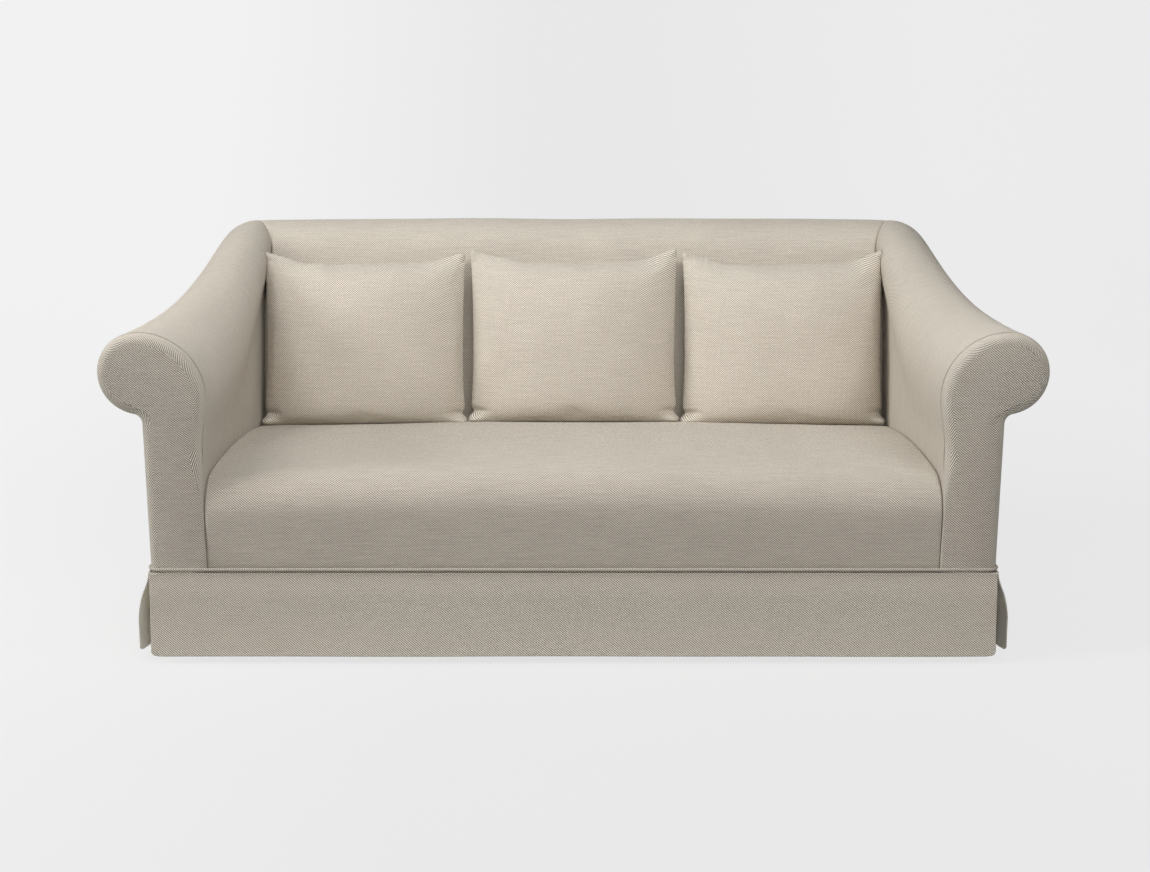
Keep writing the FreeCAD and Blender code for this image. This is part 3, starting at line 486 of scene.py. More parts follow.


# The strengths below are painted light and shade: the arm fronts and the welt are darkened, and the back,
# the pillows and the skirt are lightened, by how brightly each part is lit.
front_linen = linen("arm_front_cloth", diagonal=0.36, contrast=1.15, strength=0.87)
side_linen = linen("arm_side_cloth", diagonal=0.08, contrast=0.5, slubs=0.7, strength=0.95)
seat_linen = linen("seat_cloth", diagonal=0.26, contrast=0.9, strength=0.97)
back_linen = linen("back_cloth", diagonal=0.10, contrast=0.9, slubs=0.8, strength=1.03)
pillow_linen = linen("pillow_cloth", diagonal=0.10, contrast=1.1, slubs=0.75, strength=1.05,
                     thread=0.0017)
skirt_linen = linen("skirt_face_cloth", diagonal=0.42, contrast=1.25, strength=1.17)
welt_linen = linen("welt_cloth", bias=math.pi / 4, contrast=0.7, strength=0.84)
print("cloths", [cloth.name for cloth in (front_linen, side_linen, seat_linen, back_linen,
                                          pillow_linen, skirt_linen, welt_linen)])

# %% [markdown]
# ## The scrolled arm
#
# One cover is pulled over the inside of the arm, round the roll and onto the arm's front. Its
# cross-section is plain: a straight inner wall, a soft swell towards the sitter, a quarter turn
# to the crest, the outer roll, and a tuck under it. Carried from front to back, the crest sweeps
# up in an S to the height of the back while the roll's overhang fades. A sculpted mesh would only
# approach that line, so the surface is worked out from the section's own radii.

# %% The arm's section at each place along it
arm_height = 0.767
wing_top = back_top - back_end_drop
sweep_start, sweep_end, sweep_ease = 0.207, 0.873, 1.52
fade_start, fade_end = 0.275, 0.846
roll_overhang, wing_overhang = 0.095, 0.001
roll_radius, wing_radius = 0.094, 0.102
roll_bulge, wing_bulge = 0.015, 0.020
undercut_radius = 0.022
bulge_height = 0.120


def arm_crest(setback):
    """The crest: level, then an S-curve up to the wing, then a quarter ellipse down the rear."""
    share = np.clip((setback - sweep_start) / (sweep_end - sweep_start), 0, 1)
    crest = arm_height + (wing_top - arm_height) * rise(share ** sweep_ease)
    past = np.clip((setback - (body_depth - back_roll)) / back_roll, 0, 1)
    return crest - (back_roll - back_end_drop) * (1 - np.sqrt(1 - past ** 2))


def roll_sizes(setback):
    """The radii and centres of the section's arcs: each fades from the roll's to the wing's."""
    fade = rise((setback - fade_start) / (fade_end - fade_start))
    overhang = roll_overhang + (wing_overhang - roll_overhang) * fade
    outer = roll_radius + (wing_radius - roll_radius) * fade
    bulge = roll_bulge + (wing_bulge - roll_bulge) * fade
    crest_x = half_body + overhang - outer
    crest_z = arm_crest(setback)
    inner = crest_x - (half_seat - bulge)
    across = outer - overhang + undercut_radius
    drop = np.sqrt((outer + undercut_radius) ** 2 - across ** 2)
    return dict(crest_x=crest_x, crest_z=crest_z, outer=outer, inner=inner, bulge=bulge,
                under_x=crest_x + across, under_z=crest_z - outer - drop,
                turn=np.arctan2(-drop, across))


arm_counts = (26, 16, 22, 34, 8, 23)
half_columns = sum(arm_counts[:3])
arm_splits = np.cumsum(arm_counts)[:-1]
wall_share, ease_share, inner_share, outer_share, under_share = (
    np.linspace(0, 1, count, endpoint=False)[None] for count in arm_counts[:5])
foot_share = np.linspace(0, 1, arm_counts[5])[None]


def arm_section(setback, inset, inner_foot, outer_foot, tuck=0.0):
    """Points (rows, columns, 2) in X and Z round the section, drawn in by an inset.

    Each arc is its centre plus its radius times the cosine and sine of a turn. The inner wall
    swells by an S-curve of its height, and the outer wall drops straight from the tuck.
    """
    roll = roll_sizes(setback)
    inner_z, outer_z = roll["crest_z"] - roll["inner"], roll["crest_z"] - roll["outer"]
    ease_foot = inner_z - bulge_height
    inset = inset + np.zeros((len(setback), sum(arm_counts)))
    wall, ease, inner, outer, under, foot = np.split(inset, arm_splits, axis=1)
    inner_turn = math.pi * (1 - inner_share / 2)
    outer_turn = math.pi / 2 + (roll["turn"] - math.pi / 2) * outer_share
    under_turn = math.pi + roll["turn"] * (1 - under_share)
    x = [half_seat + wall,
         half_seat + ease - roll["bulge"] * rise(ease_share),
         roll["crest_x"] + (roll["inner"] - inner) * np.cos(inner_turn),
         roll["crest_x"] + (roll["outer"] - outer) * np.cos(outer_turn),
         roll["under_x"] + (undercut_radius + under) * np.cos(under_turn),
         roll["under_x"] - undercut_radius - foot - tuck * rise(foot_share * 6)]
    z = [inner_foot + (ease_foot - inner_foot) * wall_share,
         ease_foot + bulge_height * ease_share,
         inner_z + (roll["inner"] - inner) * np.sin(inner_turn),
         outer_z + (roll["outer"] - outer) * np.sin(outer_turn),
         roll["under_z"] + (undercut_radius + under) * np.sin(under_turn),
         roll["under_z"] + (outer_foot - roll["under_z"]) * foot_share]
    return spread(np.concatenate(x, axis=1), np.concatenate(z, axis=1))


def arm_inner_x(y, z):
    """How far out the inner face of the arm lies at a place on the tight back's end."""
    roll = roll_sizes(np.asarray(y) + half_depth)
    inner_z = roll["crest_z"] - roll["inner"]
    swell = half_seat - roll["bulge"] * rise((z - inner_z + bulge_height) / bulge_height)
    up = np.clip(z - inner_z, 0, roll["inner"])
    round_x = roll["crest_x"] - np.sqrt(roll["inner"] ** 2 - up ** 2)
    return np.where(z < inner_z, swell, round_x)


print("crest at front, middle and rear", arm_crest(np.array([0.0, 0.55, 0.885])).round(3))

# %% [markdown]
# The cover starts as a flat face on the arm's front. The face is a fan from a spine up the
# middle of the arm, slightly crowned by its padding. It turns over a soft edge, which is wide at
# the top and tightens low down where the seat holds it, and runs back to the outside back.

# %% The arm covers
front_edge, low_edge = 0.024, 0.0045
tight_below, tight_reach = 0.36, 0.13
front_crown = 0.0025
spine_x, spine_swing = 0.911, 0.048
spine_bend_z, spine_bend = 0.50, 0.16
wrap, outer_hem, outer_tuck = 0.030, 0.012, 0.009
arm_wave = 0.0009


def arm_rows(setback, inset, tuck=0.0):
    """The section at some setbacks: the walls end at the rails behind the front padding."""
    inner_foot = np.where(setback > front_padding, rail_top, body_foot)
    outer_foot = np.where(setback > wrap, roll_sizes(setback)["under_z"] - outer_hem, body_foot)
    return arm_section(setback, inset, inner_foot, outer_foot, tuck)


def with_y(section, y):
    """Sets a section of X and Z at its Y."""
    return np.insert(section, 1, np.broadcast_to(y, section.shape[:2]), axis=2)


def front_fan(rim, spine):
    """Rows from the inner side to the spine and on to the outer side, which meet at the crest.

    Also returns how far each point is from the spine: 0 on it and 1 at the rim.
    """
    share = np.linspace(1, 0, 15)[None, :, None]
    inner_side, outer_side = rim[:half_columns + 1, None], rim[:half_columns - 1:-1, None]
    inner = spine[:, None] + (inner_side - spine[:, None]) * share
    outer = spine[:, None] + (outer_side - spine[:, None]) * share[:, :-1][:, ::-1]
    away = np.concatenate([share, share[:, :-1][:, ::-1]], axis=1)[:, :, 0]
    return np.concatenate([inner, outer], axis=1), away


def rim_as_row(face):
    """The rim of the front as one row: up the inner side and down the outer side."""
    return np.concatenate([face[:, 0], face[-2::-1, -1]])[None]


def arm_cover():
    """The cover of the right arm: a fan for the front, rows round its edge, and rows going back."""
    front = np.zeros((1, 1))
    outline = arm_rows(front, 0.0)[0, :, 1]
    edge_radius = np.full(len(outline), front_edge)
    wall_z = outline[:arm_counts[0]]
    loosened = rise((wall_z - tight_below) / tight_reach)
    edge_radius[:arm_counts[0]] = low_edge + (front_edge - low_edge) * loosened

    rim = arm_rows(front, edge_radius)[0]
    inner_z, outer_z = rim[:half_columns + 1, 1], rim[:half_columns - 1:-1, 1]
    spine_z = np.minimum((inner_z + outer_z) / 2, arm_height - roll_radius - 0.01)
    spine = spread(spine_x + spine_swing * rise((spine_z - spine_bend_z) / spine_bend), spine_z)
    face, away = front_fan(rim, spine)
    crown = front_crown * (1 - away ** 2) * rise((face[:, :, 1] - body_foot) / 0.05)
    face_cloth = face.copy()
    face = with_y(face, -half_depth - crown)

    turn = np.linspace(0, math.pi / 2, 9)[1:, None]
    edge = with_y(arm_rows(0 * turn, edge_radius * (1 - np.sin(turn))),
                  edge_radius * (1 - np.cos(turn)) - half_depth)
    setback = np.concatenate([[0.0205, 0.0245, wrap - 0.0006, wrap + 0.0004],
                              np.linspace(0.036, 0.978, 118), [0.980]])[:, None]
    run = with_y(arm_rows(setback, 0.0, np.where(setback > wrap, outer_tuck, 0.0)), setback - half_depth)
    held = run[:, :, 2] < roll_z + 0.0004
    run[:, :, 1] = np.where(held, np.minimum(run[:, :, 1], half_depth - panel - gap / 2), run[:, :, 1])
    sides = np.concatenate([edge, run])
    waves = ripples(sides, 0.45, 3) * arm_wave * rise((sides[:, :, 1] + half_depth - 0.02) / 0.1)
    waves *= rise((sides[:, :, 2] - 0.5) / 0.08)
    sides += normals(sides) * waves[:, :, None]

    lining = with_y(arm_rows(np.concatenate([0 * turn + front_padding + 0.0001, setback]), arm_padding),
                    np.maximum(sides[:, :, 1], front_padding - half_depth))
    inner_face = with_y(front_fan(lining[0][:, ::2], spine)[0], front_padding - half_depth)
    outer = np.concatenate([rim_as_row(face), sides])
    side_cloth = cloth_lengths(outer)
    side_cloth[:, :, 0] = side_cloth[len(turn) + 1, :, 0]
    patches = [patch(face, face_cloth), patch(inner_face, face_cloth, flip=True)]
    patches += shell(outer, np.concatenate([rim_as_row(inner_face), lining]), side_cloth,
                     rims=("last_row", "first_column", "last_column"))
    patches.append((np.stack([face[0], inner_face[0]]),
                    np.stack([face_cloth[0], face_cloth[0] + (0, front_padding)])))
    return patches


def mirrored(patches, side):
    """The same patches for the other side: X and the cloth's first coordinate change sign."""
    return [(points * (side, 1, 1), cloth * (side, 1)) for points, cloth in patches]


for side_name, side in (("left", -1), ("right", 1)):
    arm = sew("arm_cover_" + side_name, mirrored(arm_cover(), side), side_linen)
    arm.data.materials.append(front_linen)
    to_front = face_normals(arm)[:, 1] < -0.80
    arm.data.polygons.foreach_set("material_index", to_front.astype(np.int32))
    dress(arm, "frame", "linen_weave", "arm_pad_" + side_name)
    report(arm)

# %% [markdown]
# ## The tight seat
#
# The seat is one bench with no loose cushion. From the front it rises as a flat wall, falls
# back over a wide waterfall, and runs nearly flat to the back. Its middle stands a little
# higher than its ends, because the springs are tied lower along the arms. Each end and the rear
# turn down over a small edge into the crease, which is what draws the thin dark seam.

# %% The seat
seat_crest, seat_crown, crest_setback = 0.447, 0.013, 0.310
top_radius, waterfall = 2.200, 0.090
seam_edge, low_seam_share = 0.008, 0.38
front_tuck, seat_wave = 0.006, 0.0012
far = 1.0


def edge_drop(radius, *distances):
    """How far a padded edge has turned down: a quarter circle by the nearness of its seams.

    The nearness is the root of the summed squares of how near each seam is, from 0 to 1.
    """
    near = np.sqrt(sum(np.clip(1 - distance / radius, 0, 1) ** 2 for distance in distances))
    return radius * (1 - np.sqrt(1 - np.minimum(near, 1) ** 2))


def end_shares(count, fine):
    """Places from -1 to 1, evenly spaced but for a few fine steps at each end."""
    middle = np.linspace(-1 + fine * 7, 1 - fine * 7, count)
    ends = fine * np.array([0.0, 0.12, 0.35, 0.8, 1.5, 2.5, 3.8, 5.3])
    return np.concatenate([-1 + ends, middle, (1 - ends)[::-1]])


def seat_patches():
    """The seat: a wall, the waterfall's arc and the top's long arc, each at its own turn."""
    shares = end_shares(150, 0.0018)[None]
    x = shares * (half_seat - gap)
    crest_z = seat_crest + seat_crown * (1 - (x / half_seat) ** 2)
    center_z = crest_z - top_radius
    reach, across = top_radius - waterfall, crest_setback - waterfall
    fall_z = center_z + math.sqrt(reach ** 2 - across ** 2)
    join = np.arctan2(fall_z - center_z, -across)
    crest_y = crest_setback - half_depth
    rear_y = back_face(crest_z) - gap
    rear_turn = np.arccos((rear_y - crest_y) / top_radius)
    wall_share = np.linspace(0, 1, 26, endpoint=False)[:, None]
    fall_share = np.linspace(0, 1, 22, endpoint=False)[:, None]
    top_share = np.concatenate([np.linspace(0, 0.972, 64),
                                [0.978, 0.984, 0.989, 0.993, 0.997, 1.0]])[:, None]
    turn = np.concatenate([np.full_like(x, math.pi) + 0 * wall_share,
                           math.pi + (join - math.pi) * fall_share,
                           join + (rear_turn - join) * top_share])
    wall_z = body_foot + (fall_z - body_foot) * wall_share
    low_rows, top_rows = len(wall_share) + len(fall_share), len(top_share)
    radius = np.repeat([waterfall, top_radius], [low_rows, top_rows])[:, None]
    middle_y = np.repeat([waterfall - half_depth, crest_y], [low_rows, top_rows])[:, None]
    middle_z = np.concatenate([wall_z, fall_z + 0 * fall_share, center_z + 0 * top_share])
    flat_y = middle_y + radius * np.cos(turn)
    to_rear = np.where(turn < math.pi * 0.75, rear_y - flat_y, far)
    drop = edge_drop(seam_edge, half_seat - gap - np.abs(x), to_rear)
    seam_z = np.concatenate([wall_z, fall_z + 0 * fall_share, fall_z + 0 * top_share])
    drop *= low_seam_share + (1 - low_seam_share) * rise((seam_z - 0.2) / 0.15)
    y = middle_y + (radius - drop) * np.cos(turn)
    z = middle_z + (radius - drop) * np.sin(turn)
    y = y + front_tuck * rise((0.350 - z) / 0.130) * (y < -0.40)
    outer = spread(x, y, z)
    waves = ripples(outer, 0.55, 11) * seat_wave * rise((half_seat - np.abs(x)) / 0.08)
    waves = waves * rise(to_rear / 0.05) * rise((z - 0.25) / 0.06)
    outwards = normals(outer)
    outer += outwards * waves[:, :, None] * np.sign(outwards[:, :, 1].mean())
    inner_z = np.minimum(z, deck_height)
    inner_y = np.clip(y, -half_depth + front_padding, back_face(inner_z) - gap)
    inner = spread(outer[:, :, 0], inner_y, inner_z)
    return shell(outer, inner)


seat = sew("seat_cover", seat_patches(), seat_linen)
dress(seat, "frame", "linen_weave", "seat_pad", "seat_foam")
report(seat)

# %% [markdown]
# ## The tight back
#
# The inside back is raked by eleven degrees, rolls over the top rail and meets the outside back
# behind. Its ends are not straight: the arm swells inwards and then turns away over its crest,
# and the back's cloth is pushed into that line. So each row of the grid is as wide as the gap
# between the arms at its own place and height.

# %% The inside back
top_rail_top = 0.888
top_rail_back = 0.462
back_half_width = 0.873
back_end_edge, back_rear_edge, back_wave = 0.010, 0.006, 0.0012


def back_patches():
    """The inside back: a raked face, then an arc over the roll, in a line from arm to arm."""
    shares = end_shares(150, 0.0018)[None]
    face_z = np.linspace(deck_height, touch_z, 62, endpoint=False)[:, None]
    roll_turn = np.linspace(math.pi - rake, 0.0, 46)[:, None]
    roll_height = back_roll - back_end_drop * shares ** 6
    face = spread(back_face(face_z) + 0 * shares, face_z)
    rolled = spread(roll_y + back_roll * np.cos(roll_turn), roll_z + roll_height * np.sin(roll_turn))
    yz = np.concatenate([face, rolled])
    width = np.minimum(arm_inner_x(yz[:, :, 0], yz[:, :, 1]) - gap, back_half_width)
    x = shares * width
    drop = edge_drop(back_end_edge, width - np.abs(x))
    out = np.concatenate([np.broadcast_to([[-math.cos(rake), math.sin(rake)]], (len(face_z), 2)),
                          np.concatenate([np.cos(roll_turn), np.sin(roll_turn)], axis=1)])[:, None, :]
    to_rear_seam = np.abs(yz[:, :, 1] - roll_z) + np.where(yz[:, :, 0] < roll_y, far, 0.0)
    rear_drop = edge_drop(back_rear_edge, to_rear_seam)
    yz = yz - out * np.maximum(drop, rear_drop)[:, :, None]
    outer = np.concatenate([x[:, :, None], yz], axis=2)
    waves = ripples(outer, 0.5, 23) * back_wave * rise((width - np.abs(x)) / 0.08)
    waves = waves * rise((outer[:, :, 2] - 0.86) / 0.05) * rise((half_depth - outer[:, :, 1]) / 0.03)
    outer[:, :, 1:] += out * waves[:, :, None]
    rail_line = np.array([(back_face(deck_height) + back_padding, deck_height),
                          (back_face(top_rail_top) + back_padding, top_rail_top + gap),
                          (top_rail_back + gap, top_rail_top + gap), (top_rail_back + gap, roll_z)])
    face_share = (face_z[:, 0] - deck_height) / (touch_z - deck_height)
    knots = np.concatenate([face_share, 1 + 2 * np.linspace(0, 1, len(roll_turn))])
    inner_y, inner_z = (np.interp(knots, [0, 1, 2, 3], line)[:, None] for line in rail_line.T)
    inner_x = np.clip(outer[:, :, 0], -half_seat + gap, half_seat - gap)
    inner = spread(inner_x, inner_y, inner_z)
    return shell(outer, inner)


inside_back = sew("back_cover", back_patches(), back_linen)
dress(inside_back, "frame", "linen_weave", "back_pad", "back_foam")
report(inside_back)

# %% [markdown]
# ## Outside panels
#
# The outside of each arm and the whole outside back are flat cloth over board. A thin layer of
# padding lifts them by a millimetre or two in the middle, and the cloth turns under at every
# edge. A plain box would show a hard edge there, so each panel is a grid with a crowned face.

# %% Outside back and outside arms
panel_crown, panel_edge = 0.0016, 0.0045
shoulder_z, shoulder_height, shoulder_width = 0.761, 0.102, 0.101
shoulder_x = 0.8765
fine_end = np.array([0, 0.0008, 0.002, 0.0035, 0.006])


def outside_back_patches():
    """Rows up the back, each as wide as the arms' round shoulders allow, with a crowned face."""
    z = np.concatenate([np.linspace(body_foot, shoulder_z, 60, endpoint=False),
                        shoulder_z + shoulder_height * np.sin(np.linspace(0, math.pi / 2, 22))])[:, None]
    up = np.clip((z - shoulder_z) / shoulder_height, 0, 1)
    width = np.where(z < shoulder_z, half_body, shoulder_x + shoulder_width * np.sqrt(1 - up ** 2))
    shares = end_shares(120, 0.0012)[None]
    x = shares * width
    inside = width - np.abs(x)
    drop = edge_drop(panel_edge, inside, roll_z - z)
    crown = panel_crown * rise(inside / 0.25) * rise((roll_z - z) / 0.2) * rise((z - body_foot) / 0.2)
    y = half_depth - drop + crown
    outer = spread(x, y, z)
    inner = outer.copy()
    inner[:, :, 1] = half_depth - panel + gap / 2
    return shell(outer, inner)


def outside_arm_patches():
    """Columns back along the arm, each as tall as the underside of the roll at that place."""
    setback = np.concatenate([wrap + gap / 2 + fine_end, np.linspace(0.045, 0.955, 84),
                              body_depth - panel - gap / 2 - fine_end[::-1]])[None]
    top = roll_sizes(setback)["under_z"] - 0.0005
    share = np.concatenate([np.linspace(0, 1, 60, endpoint=False)[:-1],
                            [0.986, 0.991, 0.995, 0.998, 1.0]])[:, None]
    z = body_foot + (top - body_foot) * share
    ends = np.minimum(setback - setback.min(), setback.max() - setback)
    drop = edge_drop(panel_edge - 0.0005, ends, top - z)
    crown = panel_crown * rise(ends / 0.15) * rise((top - z) / 0.15) * rise((z - body_foot) / 0.15)
    outer = spread(half_body - drop + crown, setback - half_depth, z)
    inner = outer.copy()
    inner[:, :, 0] = half_body - panel + gap / 2
    return shell(outer, inner)


outside_pieces = {"outside_back_cover": ("outside_back", outside_back_patches())}
for name, side in (("left", -1), ("right", 1)):
    outside_pieces["outside_arm_cover_" + name] = ("outside_arm_" + name,
                                                   mirrored(outside_arm_patches(), side))
for name, (node, patches) in outside_pieces.items():
    cover = sew(name, patches, seat_linen)
    dress(cover, "frame", "linen_weave", node)
    report(cover)

# %% [markdown]
# ## The welt
#
# A cord in a bias strip of the same cloth runs round the base, just above the skirt. It is a
# profile carried along a path: the path is straight along each side and turns round the soft
# front edge of each arm, and the profile is a circle that grows from nothing at each end.

# %% Welts
welt_radius, welt_stand, welt_z = 0.0038, 0.0022, 0.2193
welt_front_end, welt_side_end = -0.472, -0.4718
dome_rings = 6


def tube(path, radius, around=18):
    """A round cord on a level path: centre + radius (cosine outwards + sine upwards), ends domed."""
    way = np.gradient(path, axis=0)
    way /= np.linalg.norm(way, axis=1, keepdims=True)
    outwards = spread(way[:, 1], -way[:, 0], 0.0)
    run = np.concatenate([[0.0], np.cumsum(np.linalg.norm(np.diff(path, axis=0), axis=1))])
    turn = np.linspace(0, math.pi / 2, dome_rings)
    dome = np.sin(turn)
    ring = np.linspace(0, 2 * math.pi, around + 1)
    start = path[0] + way[0] * radius * (1 - np.cos(turn))[:, None]
    finish = path[-1] - way[-1] * radius * (1 - np.cos(turn[::-1]))[:, None]
    path = np.concatenate([start, path[1:-1], finish])
    run = np.concatenate([run[0] + 0 * dome, run[1:-1], run[-1] + 0 * dome])
    outwards = np.concatenate([outwards[:1].repeat(dome_rings, 0), outwards[1:-1],
                               outwards[-1:].repeat(dome_rings, 0)])
    sizes = np.concatenate([radius * dome, np.full(len(path) - 2 * dome_rings, radius), radius * dome[::-1]])
    points = (path[:, None] + sizes[:, None, None] * (np.cos(ring)[None, :, None] * outwards[:, None]
              + np.sin(ring)[None, :, None] * np.array([0, 0, 1.0])))
    cloth = spread(run[:, None], radius * ring)
    return [(points, cloth)]


def level_path(corners, bend, step=0.01):
    """A level line through corners with each inner corner rounded by an arc of one radius."""
    corners = np.array(corners, float)
    points = [corners[0]]
    for before, corner, after in zip(corners[:-2], corners[1:-1], corners[2:]):
        back, ahead = before - corner, after - corner
        back, ahead = back / np.linalg.norm(back), ahead / np.linalg.norm(ahead)
        middle = corner + (back + ahead) * bend
        turn = np.linspace(0, math.pi / 2, 12)[:, None]
        points += list(middle - ahead * bend * np.cos(turn) - back * bend * np.sin(turn))
    points.append(corners[-1])
    line = np.array(points)
    lengths = np.concatenate([[0.0], np.cumsum(np.linalg.norm(np.diff(line, axis=0), axis=1))])
    places = np.unique(np.concatenate([lengths, np.arange(0, lengths[-1], step)]))
    return spread(*(np.interp(places, lengths, way) for way in line.T), welt_z)


side_x, front_y = half_body + welt_stand, half_depth + welt_stand
bend = front_edge + welt_stand
welt_paths = {
    "front": level_path([(-side_x, welt_front_end), (-side_x, -front_y), (side_x, -front_y),
                         (side_x, welt_front_end)], bend),
    "back": level_path([(half_body, front_y), (-half_body, front_y)], bend),
    "right": level_path([(side_x, welt_side_end), (side_x, half_depth)], bend),
    "left": level_path([(-side_x, half_depth), (-side_x, welt_side_end)], bend),
}
for name, path in welt_paths.items():
    welt = sew("welt_cord_" + name, tube(path, welt_radius), welt_linen)
    dress(welt, "frame", "welt_cord", "welt_" + name)
    report(welt)

# %% [markdown]
# ## What the cloth hides
#
# Three soft layers show only from below or through a gap. A black nonwoven dust cover is pulled
# tight under the frame, a felt sheet lies on the springs, and woven jute straps carry the foam of
# the back. Each is thin, so each is a closed shell with the thickness of the real thing.

# %% Dust cover and felt
def level_sheet(half_width, y_range, z_range):
    """A level sheet between two heights."""
    x = np.linspace(-half_width, half_width, 121)[None]
    y = np.linspace(*y_range, 61)[:, None]
    bottom, top = (spread(x, y, z) for z in z_range)
    return shell(top, bottom)


def plain_cloth(name, colour, roughness, thread, contrast, bump_depth):
    """A plain cloth: two crossed waves of threads, and a noise that clouds them."""
    material, n, shader = new_material(name, roughness)
    shader.inputs["Specular IOR Level"].default_value = 0.25
    cloth = n.add("UVMap", uv_map="cloth").outputs["UV"]
    parts = n.add("SeparateXYZ", {"Vector": cloth}).outputs
    turns = 2 * math.pi / thread
    over = n.math("MULTIPLY", n.math("SINE", n.math("MULTIPLY", parts["X"], turns)),
                  n.math("SINE", n.math("MULTIPLY", parts["Y"], turns)))
    fleck = n.noise(cloth, 0.35 / thread, 3.0)
    clouds = n.span(fleck, 0.3, 0.7, 1 - contrast, 1 + contrast)
    tone = n.math("ADD", n.math("MULTIPLY", over, contrast), clouds)
    shade = n.add("VectorMath", {0: colour, "Scale": tone}, operation="SCALE").outputs["Vector"]
    n.fill(shader.inputs["Base Color"], shade)
    n.bump(shader, n.math("ADD", over, fleck), bump_depth, 0.5)
    return material


nonwoven = plain_cloth("dust_cover_cloth", (0.05, 0.05, 0.052), 0.9, 0.0016, 0.12, 0.0002)
felt = plain_cloth("seat_felt", (0.45, 0.43, 0.40), 0.97, 0.0050, 0.15, 0.0006)
jute = plain_cloth("jute_webbing", (0.55, 0.45, 0.32), 0.85, 0.0032, 0.22, 0.0006)

dust_cover = sew("dust_cover_cloth", level_sheet(0.9715, (-0.478, 0.484), (0.129, 0.130)), nonwoven)
dress(dust_cover, "frame", "cambric", "dust_cover")
report(dust_cover)

insulator = sew("seat_felt_sheet", level_sheet(0.8197, (-0.478, 0.2676), (0.289, 0.2918)), felt)
dress(insulator, "frame", "felt", "seat_insulator")
report(insulator)

# %% [markdown]
# The straps pass over and under each other. Each is a flat profile carried along a path, and the
# path leans with the back and swings forwards and back by half a wave between two crossings.

# %% Back straps
strap_width, strap_thickness, strap_depth = 0.050, 0.0016, 0.083
strap_swing = 0.0010
strap_low, strap_high = 0.302, 0.863
strap_reach, first_upright = 0.8447, 0.7697
upright_places = np.linspace(-first_upright, first_upright, 7)
cross_places = strap_low + (strap_high - strap_low) * np.arange(1, 4) / 4


def raked_strap(x, z, forward):
    """A strap's shell: its middle lies behind the raked face, moved forward by a wave."""
    outer = spread(x, back_face(z) + strap_depth - forward - strap_thickness / 2, z)
    inner = outer + np.array([0, strap_thickness, 0])
    return shell(outer, inner, spread(x, z))


def back_straps():
    """Upright straps swing by a cosine of height, and cross straps by a cosine of X."""
    pieces = []
    wide = np.linspace(-strap_width / 2, strap_width / 2, 9)
    for number, place in enumerate(upright_places):
        z = np.linspace(strap_low, strap_high, 73)[:, None] + 0 * wide
        crossings = (z - cross_places[0]) / (cross_places[1] - cross_places[0])
        wave = np.cos(crossings * math.pi + number * math.pi)
        pieces += raked_strap(place + wide + 0 * z, z, strap_swing * wave)
    for number, place in enumerate(cross_places):
        x = np.linspace(-strap_reach, strap_reach, 169)[None] + 0 * wide[:, None]
        crossings = (x - upright_places[0]) / (upright_places[1] - upright_places[0])
        wave = np.cos(crossings * math.pi + (number + 1) * math.pi)
        pieces += raked_strap(x, place + wide[:, None] + 0 * x, strap_swing * wave)
    return pieces


straps = sew("back_straps", back_straps(), jute)
dress(straps, "frame", "webbing", "back_webbing")
report(straps)

# %% [markdown]
# ## Wood
#
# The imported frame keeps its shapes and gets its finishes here. Wood is a stack of growth rings,
# so its figure is long along the board and short across it. One group draws it: noise stretched
# along the grain bends the rings, a wave draws them, and a finer noise adds pores. Each board's
# grain runs along its length, so there is one material for each of the three directions.

# %% The grain group
def build_grain():
    """Adds the grain group: rings are a sine across the board, bent by a slow noise."""
    n, given, made = new_group("grain", [("Point", "Vector", None), ("Rings", "Float", 60.0)],
                               [("Figure", "Float"), ("Pores", "Float")])
    bend = n.noise(given["Point"], 9.0, 3.0, 0.55)
    parts = n.add("SeparateXYZ", {"Vector": given["Point"]}).outputs
    across = n.math("ADD", n.math("ADD", parts["X"], parts["Y"]), n.math("MULTIPLY", bend, 0.09))
    rings = n.math("SINE", n.math("MULTIPLY", across, n.math("MULTIPLY", given["Rings"], 2 * math.pi)))
    n.fill(made["Figure"], n.span(rings, -1.0, 1.0))
    n.fill(made["Pores"], n.span(n.noise(given["Point"], 900.0, 2.0, 0.6), 0.52, 0.72))


build_grain()
lengthwise = {"x": ((0.05, 1, 1), (0, math.pi / 2, 0)), "y": ((1, 0.05, 1), (math.pi / 2, 0, 0)),
              "z": ((1, 1, 0.05), (0, 0, 0))}


def wood(name, way, light, dark, roughness, rings=60.0, coat=0.0):
    """Wood with its grain along one axis: the point is squeezed along it and turned upright."""
    material, n, shader = new_material(name, roughness)
    shader.inputs["Coat Weight"].default_value = coat
    shader.inputs["Coat Roughness"].default_value = 0.3
    scale, turn = lengthwise[way]
    point = n.add("TexCoord").outputs["Object"]
    upright = n.mapped(n.mapped(point, Scale=scale), Rotation=turn)
    figure = place(n, "grain", {"Point": upright, "Rings": rings})
    colour = n.blend(figure["Figure"], tint(light, 1.0), tint(dark, 1.0))
    colour = n.blend(n.math("MULTIPLY", figure["Pores"], 0.5), colour, tint(dark, 0.55))
    n.fill(shader.inputs["Base Color"], colour)
    dull = min(roughness + 0.15, 1.0)
    n.fill(shader.inputs["Roughness"], n.span(figure["Pores"], 0.0, 1.0, roughness, dull))
    height = n.math("SUBTRACT", n.math("MULTIPLY", figure["Figure"], 0.3), figure["Pores"])
    n.bump(shader, height, 0.0003, 0.4)
    return material


